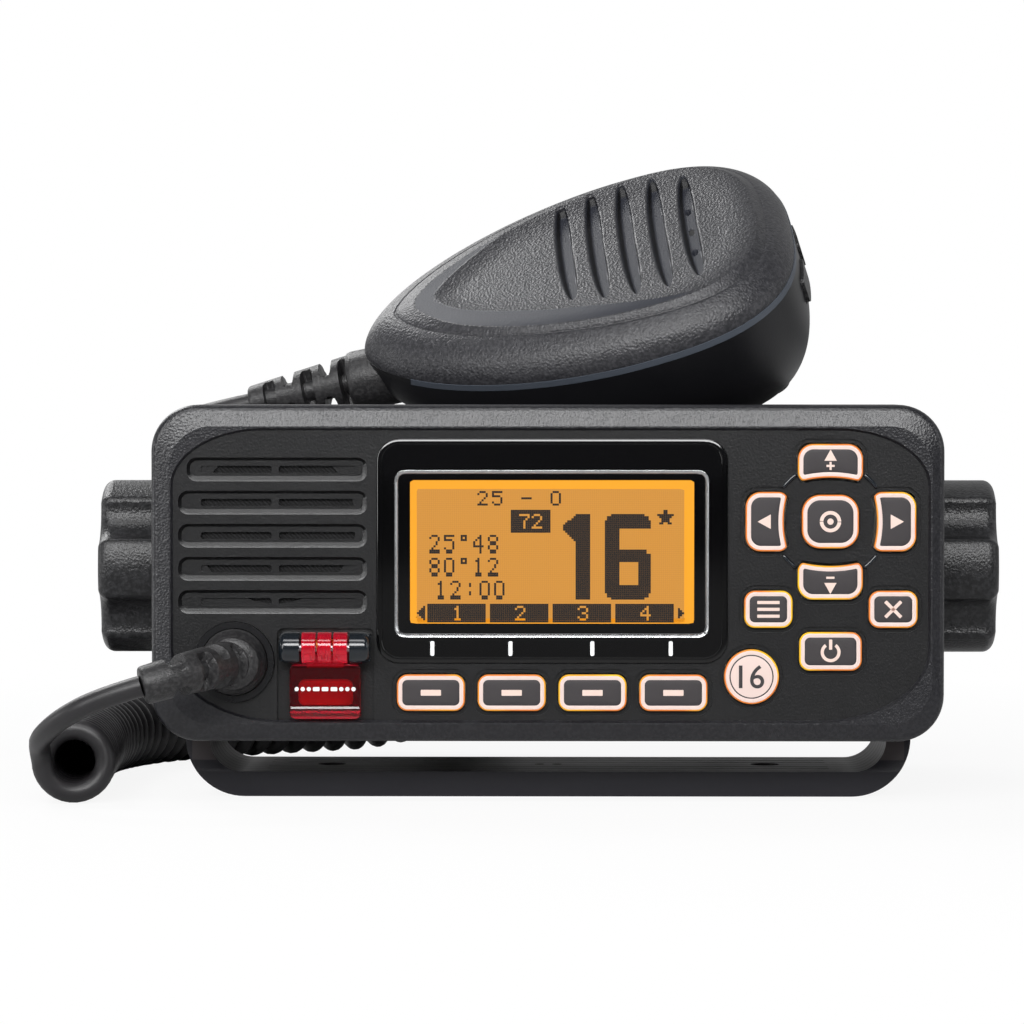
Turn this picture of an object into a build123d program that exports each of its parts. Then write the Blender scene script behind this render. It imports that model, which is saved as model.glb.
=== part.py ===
from build123d import *
import os
from math import cos, pi, radians, sin, tan

"""Fixed-mount VHF marine radio on its swivel bracket, with a fist microphone on a curly cord.

Millimetres. +X is to the user's right, +Y goes back from the front panel, +Z is up.
The origin is the middle of the bracket's underside, between its two screw holes.
"""

# ---------------------------------------------------------------- driving dimensions
# front panel: a speaker column, the display window and a key column side by side
SPEAKER_COLUMN, WINDOW_WIDTH, KEY_COLUMN = 44.59, 69.16, 42.75
WINDOW_HEIGHT, WINDOW_HEADROOM, SOFT_KEY_BAND = 44.3, 6.65, 15.55
PANEL_DEPTH = 14.0
PANEL_CORNER, PANEL_EDGE_ROUND = 9.2, 1.6
PANEL_SETBACK = 38.0            # swivel axis to the panel's front face
PANEL_SKIN = 3.0                # front skin
PANEL_RIM = 2.5                 # rim wall beside the case flange
LEDGE = 1.7                     # step inside the rim that the gasket presses on
BAND_DROP, CREST = 1.0, 0.8     # slope of the band round the field, and the flat crest inside it
FIELD_SINK = 0.8                # the control field lies this far below the crest
BAND_LEFT, BAND_RIGHT, BAND_TOP, BAND_BOTTOM = 4.35, 3.25, 5.05, 4.25
FIELD_TOP_CORNER, FIELD_BOTTOM_CORNER, FIELD_SLOPE = (18.0, 11.0), (21.6, 14.0), 0.45

# speaker grille: five sunk bays, each with a shallow channel and slots that go through over the cone
BAY_LEFT_INSETS, BAY_LENGTH, BAY_HEIGHT, BAY_DEPTH, BAY_SLOPE = (1.7, 0, 0, 0, 0), 37.4, 4.7, 1.2, 0.6
BAY_CENTRE, BAY_PITCH = (-20.54, 7.42), 6.54        # from the window's left edge and the panel's middle
SLOT_HEIGHT, SLOTS, SLOT_SINK = 1.4, ((-14.3, -0.3), (1.1, 16.4)), 0.4
SPEAKER_CENTRE, SPEAKER_RADIUS, SPEAKER_OPENING = (-20.14, 9.85), 18.4, 15.9
SPEAKER_NECK, MAGNET_RADIUS, MAGNET_DEPTH = 10.6, 10.4, 9.0
CLOTH_THICK = 0.4

# display
WINDOW_CORNER, WINDOW_THICK, WINDOW_PROUD = 4.5, 1.2, 0.6
SCREEN_MARGINS, SCREEN_CORNER = (3.66, 3.85, 6.4, 5.2), 1.8         # left, right, top, bottom
LCD_PROUD, LIGHT_GUIDE_LIP = 0.3, 0.5           # the LCD stands out behind the front skin

# keys: name -> (centre u, centre v, width, height, corner); u from the window's middle or right edge
SOFT_KEY_PITCH, SOFT_KEY_SIZE = 15.93, (13.4, 7.2, 2.0)
KEY_COLUMN_PLACES = {
    "up_key": (20.17, 21.65, 12.8, 7.8, 2.4),
    "down_key": (20.17, -1.18, 12.8, 7.8, 2.4),
    "left_key": (7.85, 10.26, 8.7, 11.7, 2.4),
    "right_key": (32.6, 10.26, 8.9, 11.7, 2.4),
    "enter_key": (20.17, 10.28, 11.2, 10.55, 3.6),
    "menu_key": (8.0, -7.0, 9.5, 7.3, 2.2),
    "clear_key": (32.55, -7.0, 9.6, 7.3, 2.2),
    "power_key": (20.25, -15.3, 12.3, 7.6, 2.2),
    "channel_16_key": (4.7, -20.3, 10.8, 10.8, 5.39),
}
DISTRESS_KEY_SIZE = (10.3, 5.0, 1.2)
ARROW_KEYS = ("up_key", "down_key", "left_key", "right_key")
ARROW_SCOOP = 0.9               # how far an arrow key's inner edge curves in
CLUSTER_WELL_RADIUS = 11.4      # round well that joins the arrow keys' wells
KEY_PROUD, KEY_TRAVEL = 1.2, 0.9
KEY_GAP, KEY_FLANGE, KEY_FLANGE_THICK = 0.2, 0.5, 0.6
KEY_EDGE = 0.4
WELL_MARGIN, WELL_DEPTH = 1.0, 0.35
DOME_RADIUS, MAT_THICK, DOME_PLAY = 2.2, 0.8, 0.05

# distress cover, from the window's left edge and the panel's middle
DISTRESS_PLACE, DISTRESS_KEY_DROP, HINGE_PROUD = (-10.14, -14.55), 9.1, 2.8
BARREL_RADIUS, BARREL_HALF, LUG_OUTER = 3.1, 4.85, 9.0
FLAP_WIDTH, FLAP_HEIGHT, FLAP_DROP, FLAP_PROUD, FLAP_THICK = 14.0, 10.8, 3.35, 2.0, 1.6
POCKET_HALF, POCKET_RISE, POCKET_HEIGHT, POCKET_SINK = 9.6, 3.75, 19.6, 1.0
PIN_RADIUS, PIN_FIT, PIN_HOLE_FIT, BARREL_BORE, BARREL_END = 0.8, 0.05, 0.02, 2.3, 1.0
SPRING_RADIUS, SPRING_HALF, PIN_SEAT = 1.7, 3.3, 2.9

# microphone cord socket, from the window's left edge and the panel's middle
SOCKET_PLACE = (-28.19, -17.5)
SOCKET_RING, SOCKET_BARREL, BOOT_RADIUS, BOOT_DOME = 7.9, 7.2, 6.55, 5.6
SOCKET_DEPTH, SOCKET_FLOOR, BOOT_FIT = 7.0, 1.4, 0.15
FIT = 0.1                       # small assembly clearance

# boards
BOARD_THICK = 1.6
BOARD_GAP = 3.8                 # back of the front skin to the front board
POST_RADIUS, POST_CLEARANCE, BOARD_INSET = 1.8, 0.2, 0.6
PANEL_BOSS_RADIUS, PANEL_BOSS_INSET, PANEL_THREAD_RADIUS, PANEL_THREAD_DEPTH = 2.8, 7.5, 1.25, 4.0

# case
CASE_HALF_HEIGHT, CASE_WALL, CASE_REAR, CASE_CORNER = 26.5, 2.0, 64.0, 4.0
CASE_SHY = 11.25                # the case stands this far in from each end of the panel
FLANGE_THICK, GASKET_THICK, FLANGE_FIT = 2.0, 1.0, 0.2
SINK_PLATE, FIN_HEIGHT, FIN_THICK, FIN_PITCH = 2.5, 5.5, 1.2, 7.0
FIN_SIDE, PLAIN_AREA = 4.0, 43.0            # fin-free widths at the two ends of the heat sink
BOARD_SIDE, BOARD_LENGTH, BOARD_FRONT = 11.0, 80.0, -19.0
STANDOFF, STANDOFF_RADIUS = 6.0, 2.5
SCREW_INSET, SCREW_BOSS_RADIUS, SCREW_BOSS_LENGTH = 5.6, 3.9, 12.0
SCREW_RADIUS, SCREW_HEAD_RADIUS, SCREW_HEAD = 1.5, 2.7, 2.0
PANEL_SCREW_RADIUS, PANEL_SCREW_HEAD_RADIUS, PANEL_SCREW_HEAD = 1.23, 2.2, 1.6
ANTENNA_PLACE, ANTENNA_RADIUS, ANTENNA_LENGTH = (22.0, 12.2), 7.9375, 12.0     # from the case's +X side
GROMMET_PLACES, LEAD_RADIUS = ((31.0, -14.8), (15.0, -14.8)), 2.2

# bracket and clamp knobs
PAD_THICK, PAD_RADIUS = 1.2, 12.0
BRACKET_ARM, BRACKET_BASE, BRACKET_DEPTH, ARM_TOP_RADIUS = 4.9, 5.0, 36.5, 12.0
BRACKET_OUTER_ROUND, BRACKET_INNER_ROUND = 12.0, 6.5
PIVOT_Z = 45.8
SCREW_HOLE_X, SCREW_HOLE_RADIUS = 44.5, 3.0
RIB_GROOVE, RIB_PITCH = 0.6, 5.0
PIVOT_HOLE_RADIUS = 3.2
BOLT_RADIUS, BOLT_FIT, BOLT_GRIP = 2.5, 0.05, 8.0
INSERT_RADIUS, INSERT_LENGTH, INSERT_WALL = 4.5, 9.0, 3.0
WASHER_RADIUS, WASHER_THICK = 9.0, 1.2
KNOB_RADIUS, KNOB_HEIGHT, LOBES, BOLT_HEAD_DEPTH = 17.6, 16.7, 5, 6.0
FINGER_CUT_PLACE, FINGER_CUT_RADIUS = 20.5, 6.0

# microphone: s runs from the cord end, t across, h out of the face
MIC_LENGTH, MIC_HALF_WIDTH, MIC_WIDEST = 92.0, 32.8, 58.0
MIC_ORIGIN = (-37.9, 12.66, 88.8)
MIC_LONG, MIC_FACE = (0.9567, -0.0962, 0.2748), (-0.2824, -0.5360, 0.7956)
MIC_CROWN, MIC_WALL, STRIP_THICK = 9.0, 2.2, 1.4
BACK_DEPTH_START, BACK_DEPTH_END = 12.6, 28.4
GROOVES = ((45.8, -15.1, 22.2), (52.4, -17.8, 23.5), (59.0, -19.8, 23.6), (65.6, -20.2, 22.4),
           (72.2, -19.5, 20.2))
GROOVE_WIDTH, GROOVE_DEPTH = 3.6, 1.3
HANGER_S, HANGER_REACH, HANGER_HEAD, HANGER_BOSS, HANGER_BOSS_RADIUS = 62.0, 37.2, 6.5, 3.0, 9.0
PTT_S, PTT_H, PTT_LENGTH, PTT_HEIGHT = 52.0, -9.5, 40.0, 11.0
PTT_TRAVEL, PTT_PROUD, PTT_FLANGE_T, PTT_FLANGE_THICK = 1.8, 1.8, 21.4, 2.0
MIC_KEY_T, MIC_KEY_H, MIC_KEY_SIZE, MIC_KEY_PROUD = 7.0, -7.5, (9.0, 6.0), 0.6
MIC_BOARD_H = -8.0
MIC_SCREWS = ((22.0, 0.0), (79.0, -14.0), (79.0, 14.0))
MIC_POST_RADIUS, MIC_COLUMN_RADIUS, MIC_HEAD_SEAT = 3.0, 4.2, 2.6
MIC_BOOT_START, MIC_BOOT_DIR = (-36.5, 15.3, 84.4), (-0.973, 0.117, -0.202)
MIC_BOOT_LENGTH, MIC_COLLAR_RADIUS = 26.5, 6.3

# cord
CORD_DIAMETER, COIL_DIAMETER = 4.2, 16.5
PANEL_BOOT = ((-62.6, -41.0, 28.2), (-66.5, -50.5, 27.8), (-71.5, -56.5, 26.8))
FRONT_TAIL = (
    (-78.2, -58.2, 24.9), (-86.5, -58.2, 22.5), (-93.6, -54.4, 17.9), (-98.0, -47.6, 12.9),
    (-99.8, -39.0, 9.4), (-100.0, -29.8, 8.5),
)
COIL = (
    (-93.6, -31.0, 8.3), (-95.5, -8.0, 8.35), (-96.0, 18.0, 8.3), (-93.0, 44.0, 8.35),
    (-82.0, 68.0, 8.3), (-59.0, 84.0, 8.5), (-34.0, 88.5, 9.5), (-14.0, 89.0, 19.0),
    (-10.0, 89.0, 36.0), (-24.0, 89.0, 51.0), (-44.0, 89.0, 59.0), (-61.5, 87.5, 62.5),
    (-73.0, 80.5, 65.0), (-77.3, 68.0, 67.0),
)
MIC_TAIL = (
    (-62.3, 18.4, 79.05), (-71.1, 19.5, 77.2), (-78.2, 25.0, 74.8), (-81.3, 33.6, 72.6),
    (-82.0, 42.8, 71.0), (-81.4, 52.0, 69.5), (-80.2, 60.4, 68.3), (-77.4, 67.85, 67.04),
)

# ---------------------------------------------------------------- places worked out from them
PANEL_WIDTH = SPEAKER_COLUMN + WINDOW_WIDTH + KEY_COLUMN
PANEL_HEIGHT = WINDOW_HEADROOM + WINDOW_HEIGHT + SOFT_KEY_BAND
FIELD_LEFT, FIELD_RIGHT = -PANEL_WIDTH / 2 + BAND_LEFT, PANEL_WIDTH / 2 - BAND_RIGHT
FIELD_TOP, FIELD_BOTTOM = PANEL_HEIGHT / 2 - BAND_TOP, -PANEL_HEIGHT / 2 + BAND_BOTTOM
WINDOW_LEFT = -PANEL_WIDTH / 2 + SPEAKER_COLUMN
WINDOW_RIGHT = WINDOW_LEFT + WINDOW_WIDTH
WINDOW_TOP = PANEL_HEIGHT / 2 - WINDOW_HEADROOM
WINDOW_BOTTOM = WINDOW_TOP - WINDOW_HEIGHT
WINDOW_CENTRE = ((WINDOW_LEFT + WINDOW_RIGHT) / 2, (WINDOW_TOP + WINDOW_BOTTOM) / 2)
SCREEN_LEFT, SCREEN_RIGHT = WINDOW_LEFT + SCREEN_MARGINS[0], WINDOW_RIGHT - SCREEN_MARGINS[1]
SCREEN_TOP, SCREEN_BOTTOM = WINDOW_TOP - SCREEN_MARGINS[2], WINDOW_BOTTOM + SCREEN_MARGINS[3]
ROW_SHARE = (FIELD_TOP - FIELD_BOTTOM) / 57.2       # rows spread or close up with the field's height
DISTRESS_U, HINGE_V = WINDOW_LEFT + DISTRESS_PLACE[0], DISTRESS_PLACE[1] * ROW_SHARE
SOCKET_U, SOCKET_V = WINDOW_LEFT + SOCKET_PLACE[0], SOCKET_PLACE[1] * ROW_SHARE
SPEAKER_U, SPEAKER_V = WINDOW_LEFT + SPEAKER_CENTRE[0], SPEAKER_CENTRE[1] * ROW_SHARE
BAY_U, BAY_MIDDLE_V = WINDOW_LEFT + BAY_CENTRE[0], BAY_CENTRE[1] * ROW_SHARE
FLAP_TOP = HINGE_V - FLAP_DROP
FLAP_BOTTOM = FLAP_TOP - FLAP_HEIGHT
SOFT_KEY_V = WINDOW_BOTTOM - 5.8
KEYS = {f"soft_key_{i + 1}": (WINDOW_CENTRE[0] + SOFT_KEY_PITCH * (i - 1.5), SOFT_KEY_V, *SOFT_KEY_SIZE)
        for i in range(4)}
KEYS.update({name: (WINDOW_RIGHT + u, v * ROW_SHARE, *size)
             for name, (u, v, *size) in KEY_COLUMN_PLACES.items()})
KEYS["distress_key"] = (DISTRESS_U, HINGE_V - DISTRESS_KEY_DROP, *DISTRESS_KEY_SIZE)

FRONT_Y = -PANEL_SETBACK
FIELD_Y = FRONT_Y + FIELD_SINK
SKIN_BACK_Y = FRONT_Y + PANEL_SKIN
PANEL_BACK_Y = FRONT_Y + PANEL_DEPTH
LEDGE_Y = PANEL_BACK_Y - FLANGE_THICK - GASKET_THICK
FLANGE_Y = PANEL_BACK_Y - FLANGE_THICK
BOARD_Y = SKIN_BACK_Y + BOARD_GAP
WINDOW_Y = FIELD_Y - WINDOW_PROUD
WINDOW_BACK_Y = WINDOW_Y + WINDOW_THICK
LCD_BACK_Y = SKIN_BACK_Y + LCD_PROUD
POCKET_Y = FIELD_Y + POCKET_SINK
HINGE_Y = FIELD_Y - HINGE_PROUD
FLAP_FRONT = FIELD_Y - FLAP_PROUD
KEY_FRONT_Y = FIELD_Y - KEY_PROUD
DISTRESS_KEY_Y = FLAP_FRONT + FLAP_THICK + 0.3
KEY_BACK_Y = SKIN_BACK_Y + KEY_FLANGE_THICK
DOME_Y = KEY_BACK_Y + KEY_TRAVEL + DOME_PLAY
SINK_BACK_Y = CASE_REAR + SINK_PLATE
FIN_BACK_Y = SINK_BACK_Y + FIN_HEIGHT

CASE_HALF = PANEL_WIDTH / 2 - CASE_SHY
CASE_FLOOR_Z = PIVOT_Z - CASE_HALF_HEIGHT
BOARD_FLOOR_Z = CASE_FLOOR_Z + CASE_WALL + STANDOFF
BOARD_TOP_Z = BOARD_FLOOR_Z + BOARD_THICK
BOARD_HALF = CASE_HALF - BOARD_SIDE
ANTENNA_X, ANTENNA_V = CASE_HALF - ANTENNA_PLACE[0], ANTENNA_PLACE[1]
GROMMETS = tuple((CASE_HALF - inset, v) for inset, v in GROMMET_PLACES)
CASE_SCREW = (CASE_HALF - SCREW_INSET, CASE_HALF_HEIGHT - SCREW_INSET)
PANEL_SCREW = (PANEL_WIDTH / 2 - PANEL_BOSS_INSET - 0.4, PANEL_HEIGHT / 2 - PANEL_BOSS_INSET)
BOARD_POSTS = ((WINDOW_RIGHT + 1.0, FIELD_TOP - 2.7), (SCREEN_LEFT + 0.5, FIELD_TOP - 2.7),
               (WINDOW_LEFT - 0.14, FIELD_BOTTOM + 3.0), (WINDOW_RIGHT + 21.5, FIELD_BOTTOM + 3.5))
BRACKET_HALF = CASE_HALF + PAD_THICK + BRACKET_ARM
KNOB_INNER = BRACKET_HALF + WASHER_THICK
KNOB_OUTER = KNOB_INNER + KNOB_HEIGHT
MIC_FRAME = Plane(origin=MIC_ORIGIN, x_dir=MIC_LONG, z_dir=MIC_FACE)
HALF_STRIP = STRIP_THICK / 2


# ---------------------------------------------------------------- helpers
def front_plane(y):
    """Sketch plane at depth y, seen from the front: u to the right, v up from the panel's centre."""
    return Plane(origin=(0, y, PIVOT_Z), x_dir=(1, 0, 0), z_dir=(0, -1, 0))


def prism(sketch, y_front, y_back):
    """A sketch in panel coordinates, made solid between two depths."""
    return extrude(front_plane(y_back) * sketch, amount=y_back - y_front)


def rounded(u, v, width, height, corner):
    return Pos(u, v) * RectangleRounded(width, height, corner)


def span(left, right, bottom, top, corner):
    """Rounded rectangle from its four edges."""
    return rounded((left + right) / 2, (bottom + top) / 2, right - left, top - bottom, corner)


def disc(u, v, radius, y_front, y_back):
    return prism(Pos(u, v) * Circle(radius), y_front, y_back)


def grown(sketch_maker, slope, y_front, y_back):
    """A sunk shape with sloping sides: the outline is wider by the slope at its front."""
    front, back = sketch_maker(slope), sketch_maker(0.0)
    return loft([front_plane(y_front) * front, front_plane(y_back) * back], ruled=True)


def rod_x(radius, x_low, x_high, y=0.0, z=PIVOT_Z):
    """Round bar along X."""
    plane = Plane(origin=(x_low, y, z), x_dir=(0, 1, 0), z_dir=(1, 0, 0))
    return extrude(plane * Circle(radius), amount=x_high - x_low)


def mirrored(shape):
    return shape + mirror(shape, about=Plane.YZ)


def four_corners(place):
    u, v = place
    return ((-u, -v), (-u, v), (u, -v), (u, v))


def key_outline(name, grow=0.0):
    """A key's outline, grown all round. The arrow keys curve in around the enter key."""
    u, v, width, height, corner = KEYS[name]
    outline = rounded(u, v, width + 2 * grow, height + 2 * grow, corner + grow)
    if name not in ARROW_KEYS:
        return outline
    centre_u, centre_v, enter_width, enter_height, _ = KEYS["enter_key"]
    along_u = name in ("left_key", "right_key")
    reach = abs(u - centre_u) - width / 2 if along_u else abs(v - centre_v) - height / 2
    side = height if along_u else width
    radius = (side ** 2 / 4 + ARROW_SCOOP ** 2) / (2 * ARROW_SCOOP)
    shift = reach + ARROW_SCOOP - radius
    sign_u = (u > centre_u) - (u < centre_u) if along_u else 0
    sign_v = (v > centre_v) - (v < centre_v) if not along_u else 0
    scoop = Pos(centre_u + sign_u * shift, centre_v + sign_v * shift) * Circle(radius - grow)
    return outline - scoop


def field_outline(grow=0.0):
    """The control field's outline, with an elliptical arc at each corner."""
    top_a, top_b = (length + grow for length in FIELD_TOP_CORNER)
    low_a, low_b = (length + grow for length in FIELD_BOTTOM_CORNER)
    left, right, top, low = FIELD_LEFT - grow, FIELD_RIGHT + grow, FIELD_TOP + grow, FIELD_BOTTOM - grow
    arcs = [
        EllipticalCenterArc((right - top_a, top - top_b), top_a, top_b, 0, arc_size=90),
        EllipticalCenterArc((left + top_a, top - top_b), top_a, top_b, 90, arc_size=90),
        EllipticalCenterArc((left + low_a, low + low_b), low_a, low_b, 180, arc_size=90),
        EllipticalCenterArc((right - low_a, low + low_b), low_a, low_b, 270, arc_size=90),
    ]
    joins = [Line(a @ 1, b @ 0) for a, b in zip(arcs, arcs[1:] + arcs[:1])]
    return make_face(Curve() + arcs + joins)


# ---------------------------------------------------------------- front panel
def panel_shell():
    """Bezel whose band slopes up to a crest, hollow behind and stepped for gasket and flange."""
    slope_y = FRONT_Y + BAND_DROP
    outline = RectangleRounded(PANEL_WIDTH, PANEL_HEIGHT, PANEL_CORNER)
    crest = span(FIELD_LEFT - CREST, FIELD_RIGHT + CREST, FIELD_BOTTOM - CREST, FIELD_TOP + CREST,
                 PANEL_CORNER - CREST)
    solid = prism(outline, slope_y, PANEL_BACK_Y)
    solid += loft([front_plane(slope_y) * outline, front_plane(FRONT_Y) * crest], ruled=True)
    edge = solid.edges().filter_by_position(Axis.Y, slope_y - 0.01, slope_y + 0.01)
    solid = fillet(edge, PANEL_EDGE_ROUND)
    return solid - cavity(PANEL_RIM, LEDGE_Y, PANEL_BACK_Y) - cavity(PANEL_RIM + LEDGE, SKIN_BACK_Y, LEDGE_Y)


def cavity(wall, y_front, y_back):
    inner = RectangleRounded(PANEL_WIDTH - 2 * wall, PANEL_HEIGHT - 2 * wall, PANEL_CORNER - wall)
    return prism(inner, y_front, y_back)


def grille_cuts():
    """Sunk bays with sloping sides, their channels, and the slots over the speaker's cone."""
    cuts = []
    opening = Pos(SPEAKER_U, SPEAKER_V) * Circle(SPEAKER_OPENING)
    for i, inset in enumerate(BAY_LEFT_INSETS):
        v = BAY_MIDDLE_V + BAY_PITCH * ((len(BAY_LEFT_INSETS) - 1) / 2 - i)

        def bay(grow):
            half, height = BAY_LENGTH / 2 - BAY_SLOPE + grow, BAY_HEIGHT / 2 - BAY_SLOPE + grow
            return span(BAY_U - half + inset, BAY_U + half, v - height, v + height, 1.4 + grow)

        cuts.append(grown(bay, BAY_SLOPE, FIELD_Y, FIELD_Y + BAY_DEPTH))
        for left, right in SLOTS:
            slot = span(BAY_U + left, BAY_U + right, v - SLOT_HEIGHT / 2, v + SLOT_HEIGHT / 2, 0.5)
            cuts.append(prism(slot, FIELD_Y, FIELD_Y + BAY_DEPTH + SLOT_SINK))
            cuts.append(prism(slot & opening, FIELD_Y, SKIN_BACK_Y))
    return cuts


def key_cuts():
    """A shallow well and a through hole for each key."""
    cuts = []
    for name in KEYS:
        if name != "distress_key":
            cuts.append(prism(key_outline(name, WELL_MARGIN), FIELD_Y, FIELD_Y + WELL_DEPTH))
        cuts.append(prism(key_outline(name, KEY_GAP), FIELD_Y, SKIN_BACK_Y))
    cuts.append(disc(*KEYS["enter_key"][:2], CLUSTER_WELL_RADIUS, FIELD_Y, FIELD_Y + WELL_DEPTH))
    return cuts


def window_outline(grow):
    return span(WINDOW_LEFT - grow, WINDOW_RIGHT + grow, WINDOW_BOTTOM - grow, WINDOW_TOP + grow,
                WINDOW_CORNER + grow)


def screen_outline(grow):
    return span(SCREEN_LEFT - grow, SCREEN_RIGHT + grow, SCREEN_BOTTOM - grow, SCREEN_TOP + grow,
                SCREEN_CORNER)


def display_cuts():
    """Seat for the window, and the opening for the LCD."""
    seat, opening = window_outline(FIT), screen_outline(0.0)
    return [prism(seat, FIELD_Y, WINDOW_BACK_Y), prism(opening, WINDOW_BACK_Y, SKIN_BACK_Y)]


def distress_pocket():
    top = HINGE_V + POCKET_RISE
    outline = span(DISTRESS_U - POCKET_HALF, DISTRESS_U + POCKET_HALF, top - POCKET_HEIGHT, top, 1.4)
    return prism(outline, FIELD_Y, POCKET_Y)


def socket_cuts():
    ring = disc(SOCKET_U, SOCKET_V, SOCKET_RING + FIT, FIELD_Y, FIELD_Y + 1.0)
    return [ring, disc(SOCKET_U, SOCKET_V, SOCKET_BARREL + FIT, FIELD_Y, SKIN_BACK_Y)]


def panel_posts():
    """Screw bosses at the corners, and posts that carry the front board."""
    bosses = []
    for a, b in four_corners(PANEL_SCREW):
        thread = disc(a, b, PANEL_THREAD_RADIUS, LEDGE_Y - PANEL_THREAD_DEPTH, FLANGE_Y)
        bosses.append(disc(a, b, PANEL_BOSS_RADIUS, SKIN_BACK_Y, FLANGE_Y) - thread)
    return bosses + [disc(*spot, POST_RADIUS, SKIN_BACK_Y, BOARD_Y) for spot in BOARD_POSTS]


def front_panel():
    solid = panel_shell()
    field = grown(field_outline, FIELD_SLOPE, FRONT_Y, FIELD_Y)
    for cut in [field, distress_pocket()] + grille_cuts() + key_cuts() + display_cuts() + socket_cuts():
        solid -= cut
    for post in panel_posts():
        solid += post
    return solid


# ---------------------------------------------------------------- display, keys and boards
def display_window():
    solid = prism(window_outline(0.0), WINDOW_Y, WINDOW_BACK_Y)
    return fillet(solid.faces().sort_by(Axis.Y)[0].edges(), 0.35)


def lcd_glass():
    return prism(screen_outline(-FIT), WINDOW_BACK_Y + FIT, LCD_BACK_Y)


def lcd_backlight():
    return prism(screen_outline(LIGHT_GUIDE_LIP), LCD_BACK_Y, BOARD_Y)


def key(name):
    """Rubber key: a cap through the panel and a flange that stops it from coming out."""
    front = DISTRESS_KEY_Y if name == "distress_key" else KEY_FRONT_Y
    cap = prism(key_outline(name), front, SKIN_BACK_Y)
    cap = fillet(cap.faces().sort_by(Axis.Y)[0].edges(), KEY_EDGE)
    return cap + prism(key_outline(name, KEY_FLANGE), SKIN_BACK_Y, KEY_BACK_Y)


def board_area(inset):
    """Outline shared by the front board and the keypad mat, clear of the corner bosses."""
    u, v = PANEL_SCREW
    edge = PANEL_HEIGHT / 2 - PANEL_RIM - LEDGE - inset
    right = PANEL_WIDTH / 2 - PANEL_RIM - LEDGE - inset
    left = DISTRESS_U - DISTRESS_KEY_SIZE[0] / 2 - 4.5
    area = span(left, right, -edge, KEYS["distress_key"][1] + 6.0, 1)
    reach = PANEL_BOSS_RADIUS + 0.4
    corners = [rounded(a * (u + 3), b * (v + 3), 2 * reach + 6, 2 * reach + 6, reach)
               for a in (-1, 1) for b in (-1, 1)]
    return area, right, edge, corners


def keypad_mat():
    """Silicone sheet behind the keys, with a spring dome under each one."""
    area, right, edge, corners = board_area(1.0)
    sheet = area + span(WINDOW_RIGHT + 0.9, right, -edge, edge, 1)
    for hole in corners + [Pos(*spot) * Circle(POST_RADIUS + POST_CLEARANCE) for spot in BOARD_POSTS]:
        sheet -= hole
    mat = prism(sheet, BOARD_Y - MAT_THICK, BOARD_Y)
    for u, v, *_ in KEYS.values():
        mat += disc(u, v, DOME_RADIUS, DOME_Y, BOARD_Y - MAT_THICK)
    return mat


def front_board():
    area, right, edge, corners = board_area(BOARD_INSET)
    sheet = area + span(WINDOW_LEFT + 0.46, right, -edge, edge, 1)
    for hole in corners:
        sheet -= hole
    return prism(sheet, BOARD_Y, BOARD_Y + BOARD_THICK)


# ---------------------------------------------------------------- speaker
def speaker_cloth():
    return disc(SPEAKER_U, SPEAKER_V, SPEAKER_RADIUS, SKIN_BACK_Y, SKIN_BACK_Y + CLOTH_THICK)


def speaker_frame():
    """Basket with its rim against the cloth, and the magnet on its back."""
    rim_y = SKIN_BACK_Y + CLOTH_THICK
    neck_y, magnet_y = rim_y + 7.6, rim_y + 9.0
    outline = [
        (0, neck_y), (SPEAKER_NECK, neck_y), (SPEAKER_RADIUS - 1.4, rim_y + 1.4),
        (SPEAKER_RADIUS - 1.4, rim_y), (SPEAKER_RADIUS, rim_y), (SPEAKER_RADIUS, rim_y + 2.2),
        (SPEAKER_NECK, magnet_y), (0, magnet_y),
    ]
    return spun(outline) + disc(SPEAKER_U, SPEAKER_V, MAGNET_RADIUS, magnet_y, magnet_y + MAGNET_DEPTH)


def speaker_cone():
    rim_y = SKIN_BACK_Y + CLOTH_THICK
    outline = [
        (0, rim_y + 4.9), (5.0, rim_y + 4.2), (SPEAKER_RADIUS - 1.6, rim_y + 0.3),
        (SPEAKER_RADIUS - 1.6, rim_y + 0.9), (5.0, rim_y + 7.4), (0, rim_y + 7.4),
    ]
    return spun(outline)


def spun(outline):
    """A profile of (radius, y) points turned about the speaker's axis."""
    centre_z = PIVOT_Z + SPEAKER_V
    points = [(SPEAKER_U + radius, y, centre_z) for radius, y in outline]
    face = make_face(Polyline(*points, close=True))
    return revolve(face, Axis((SPEAKER_U, 0, centre_z), (0, 1, 0)))


# ---------------------------------------------------------------- distress cover
def distress_cover():
    """See-through flap on a hollow hinge barrel."""
    z = PIVOT_Z + HINGE_V
    low, high = DISTRESS_U - BARREL_HALF, DISTRESS_U + BARREL_HALF
    barrel = rod_x(BARREL_RADIUS, low, high, HINGE_Y, z)
    flap_left, flap_right = DISTRESS_U - FLAP_WIDTH / 2, DISTRESS_U + FLAP_WIDTH / 2
    flap = prism(span(flap_left, flap_right, FLAP_BOTTOM, FLAP_TOP, 0.9), FLAP_FRONT,
                 FLAP_FRONT + FLAP_THICK)
    web = prism(span(low, high, FLAP_TOP - 1.0, HINGE_V, 0.3), FLAP_FRONT - 0.9, FLAP_FRONT + 1.2)
    cover = barrel + web + flap
    cover -= rod_x(BARREL_BORE, low + BARREL_END, high - BARREL_END, HINGE_Y, z)
    return cover - rod_x(PIN_RADIUS + PIN_FIT, low, high, HINGE_Y, z)


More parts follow.
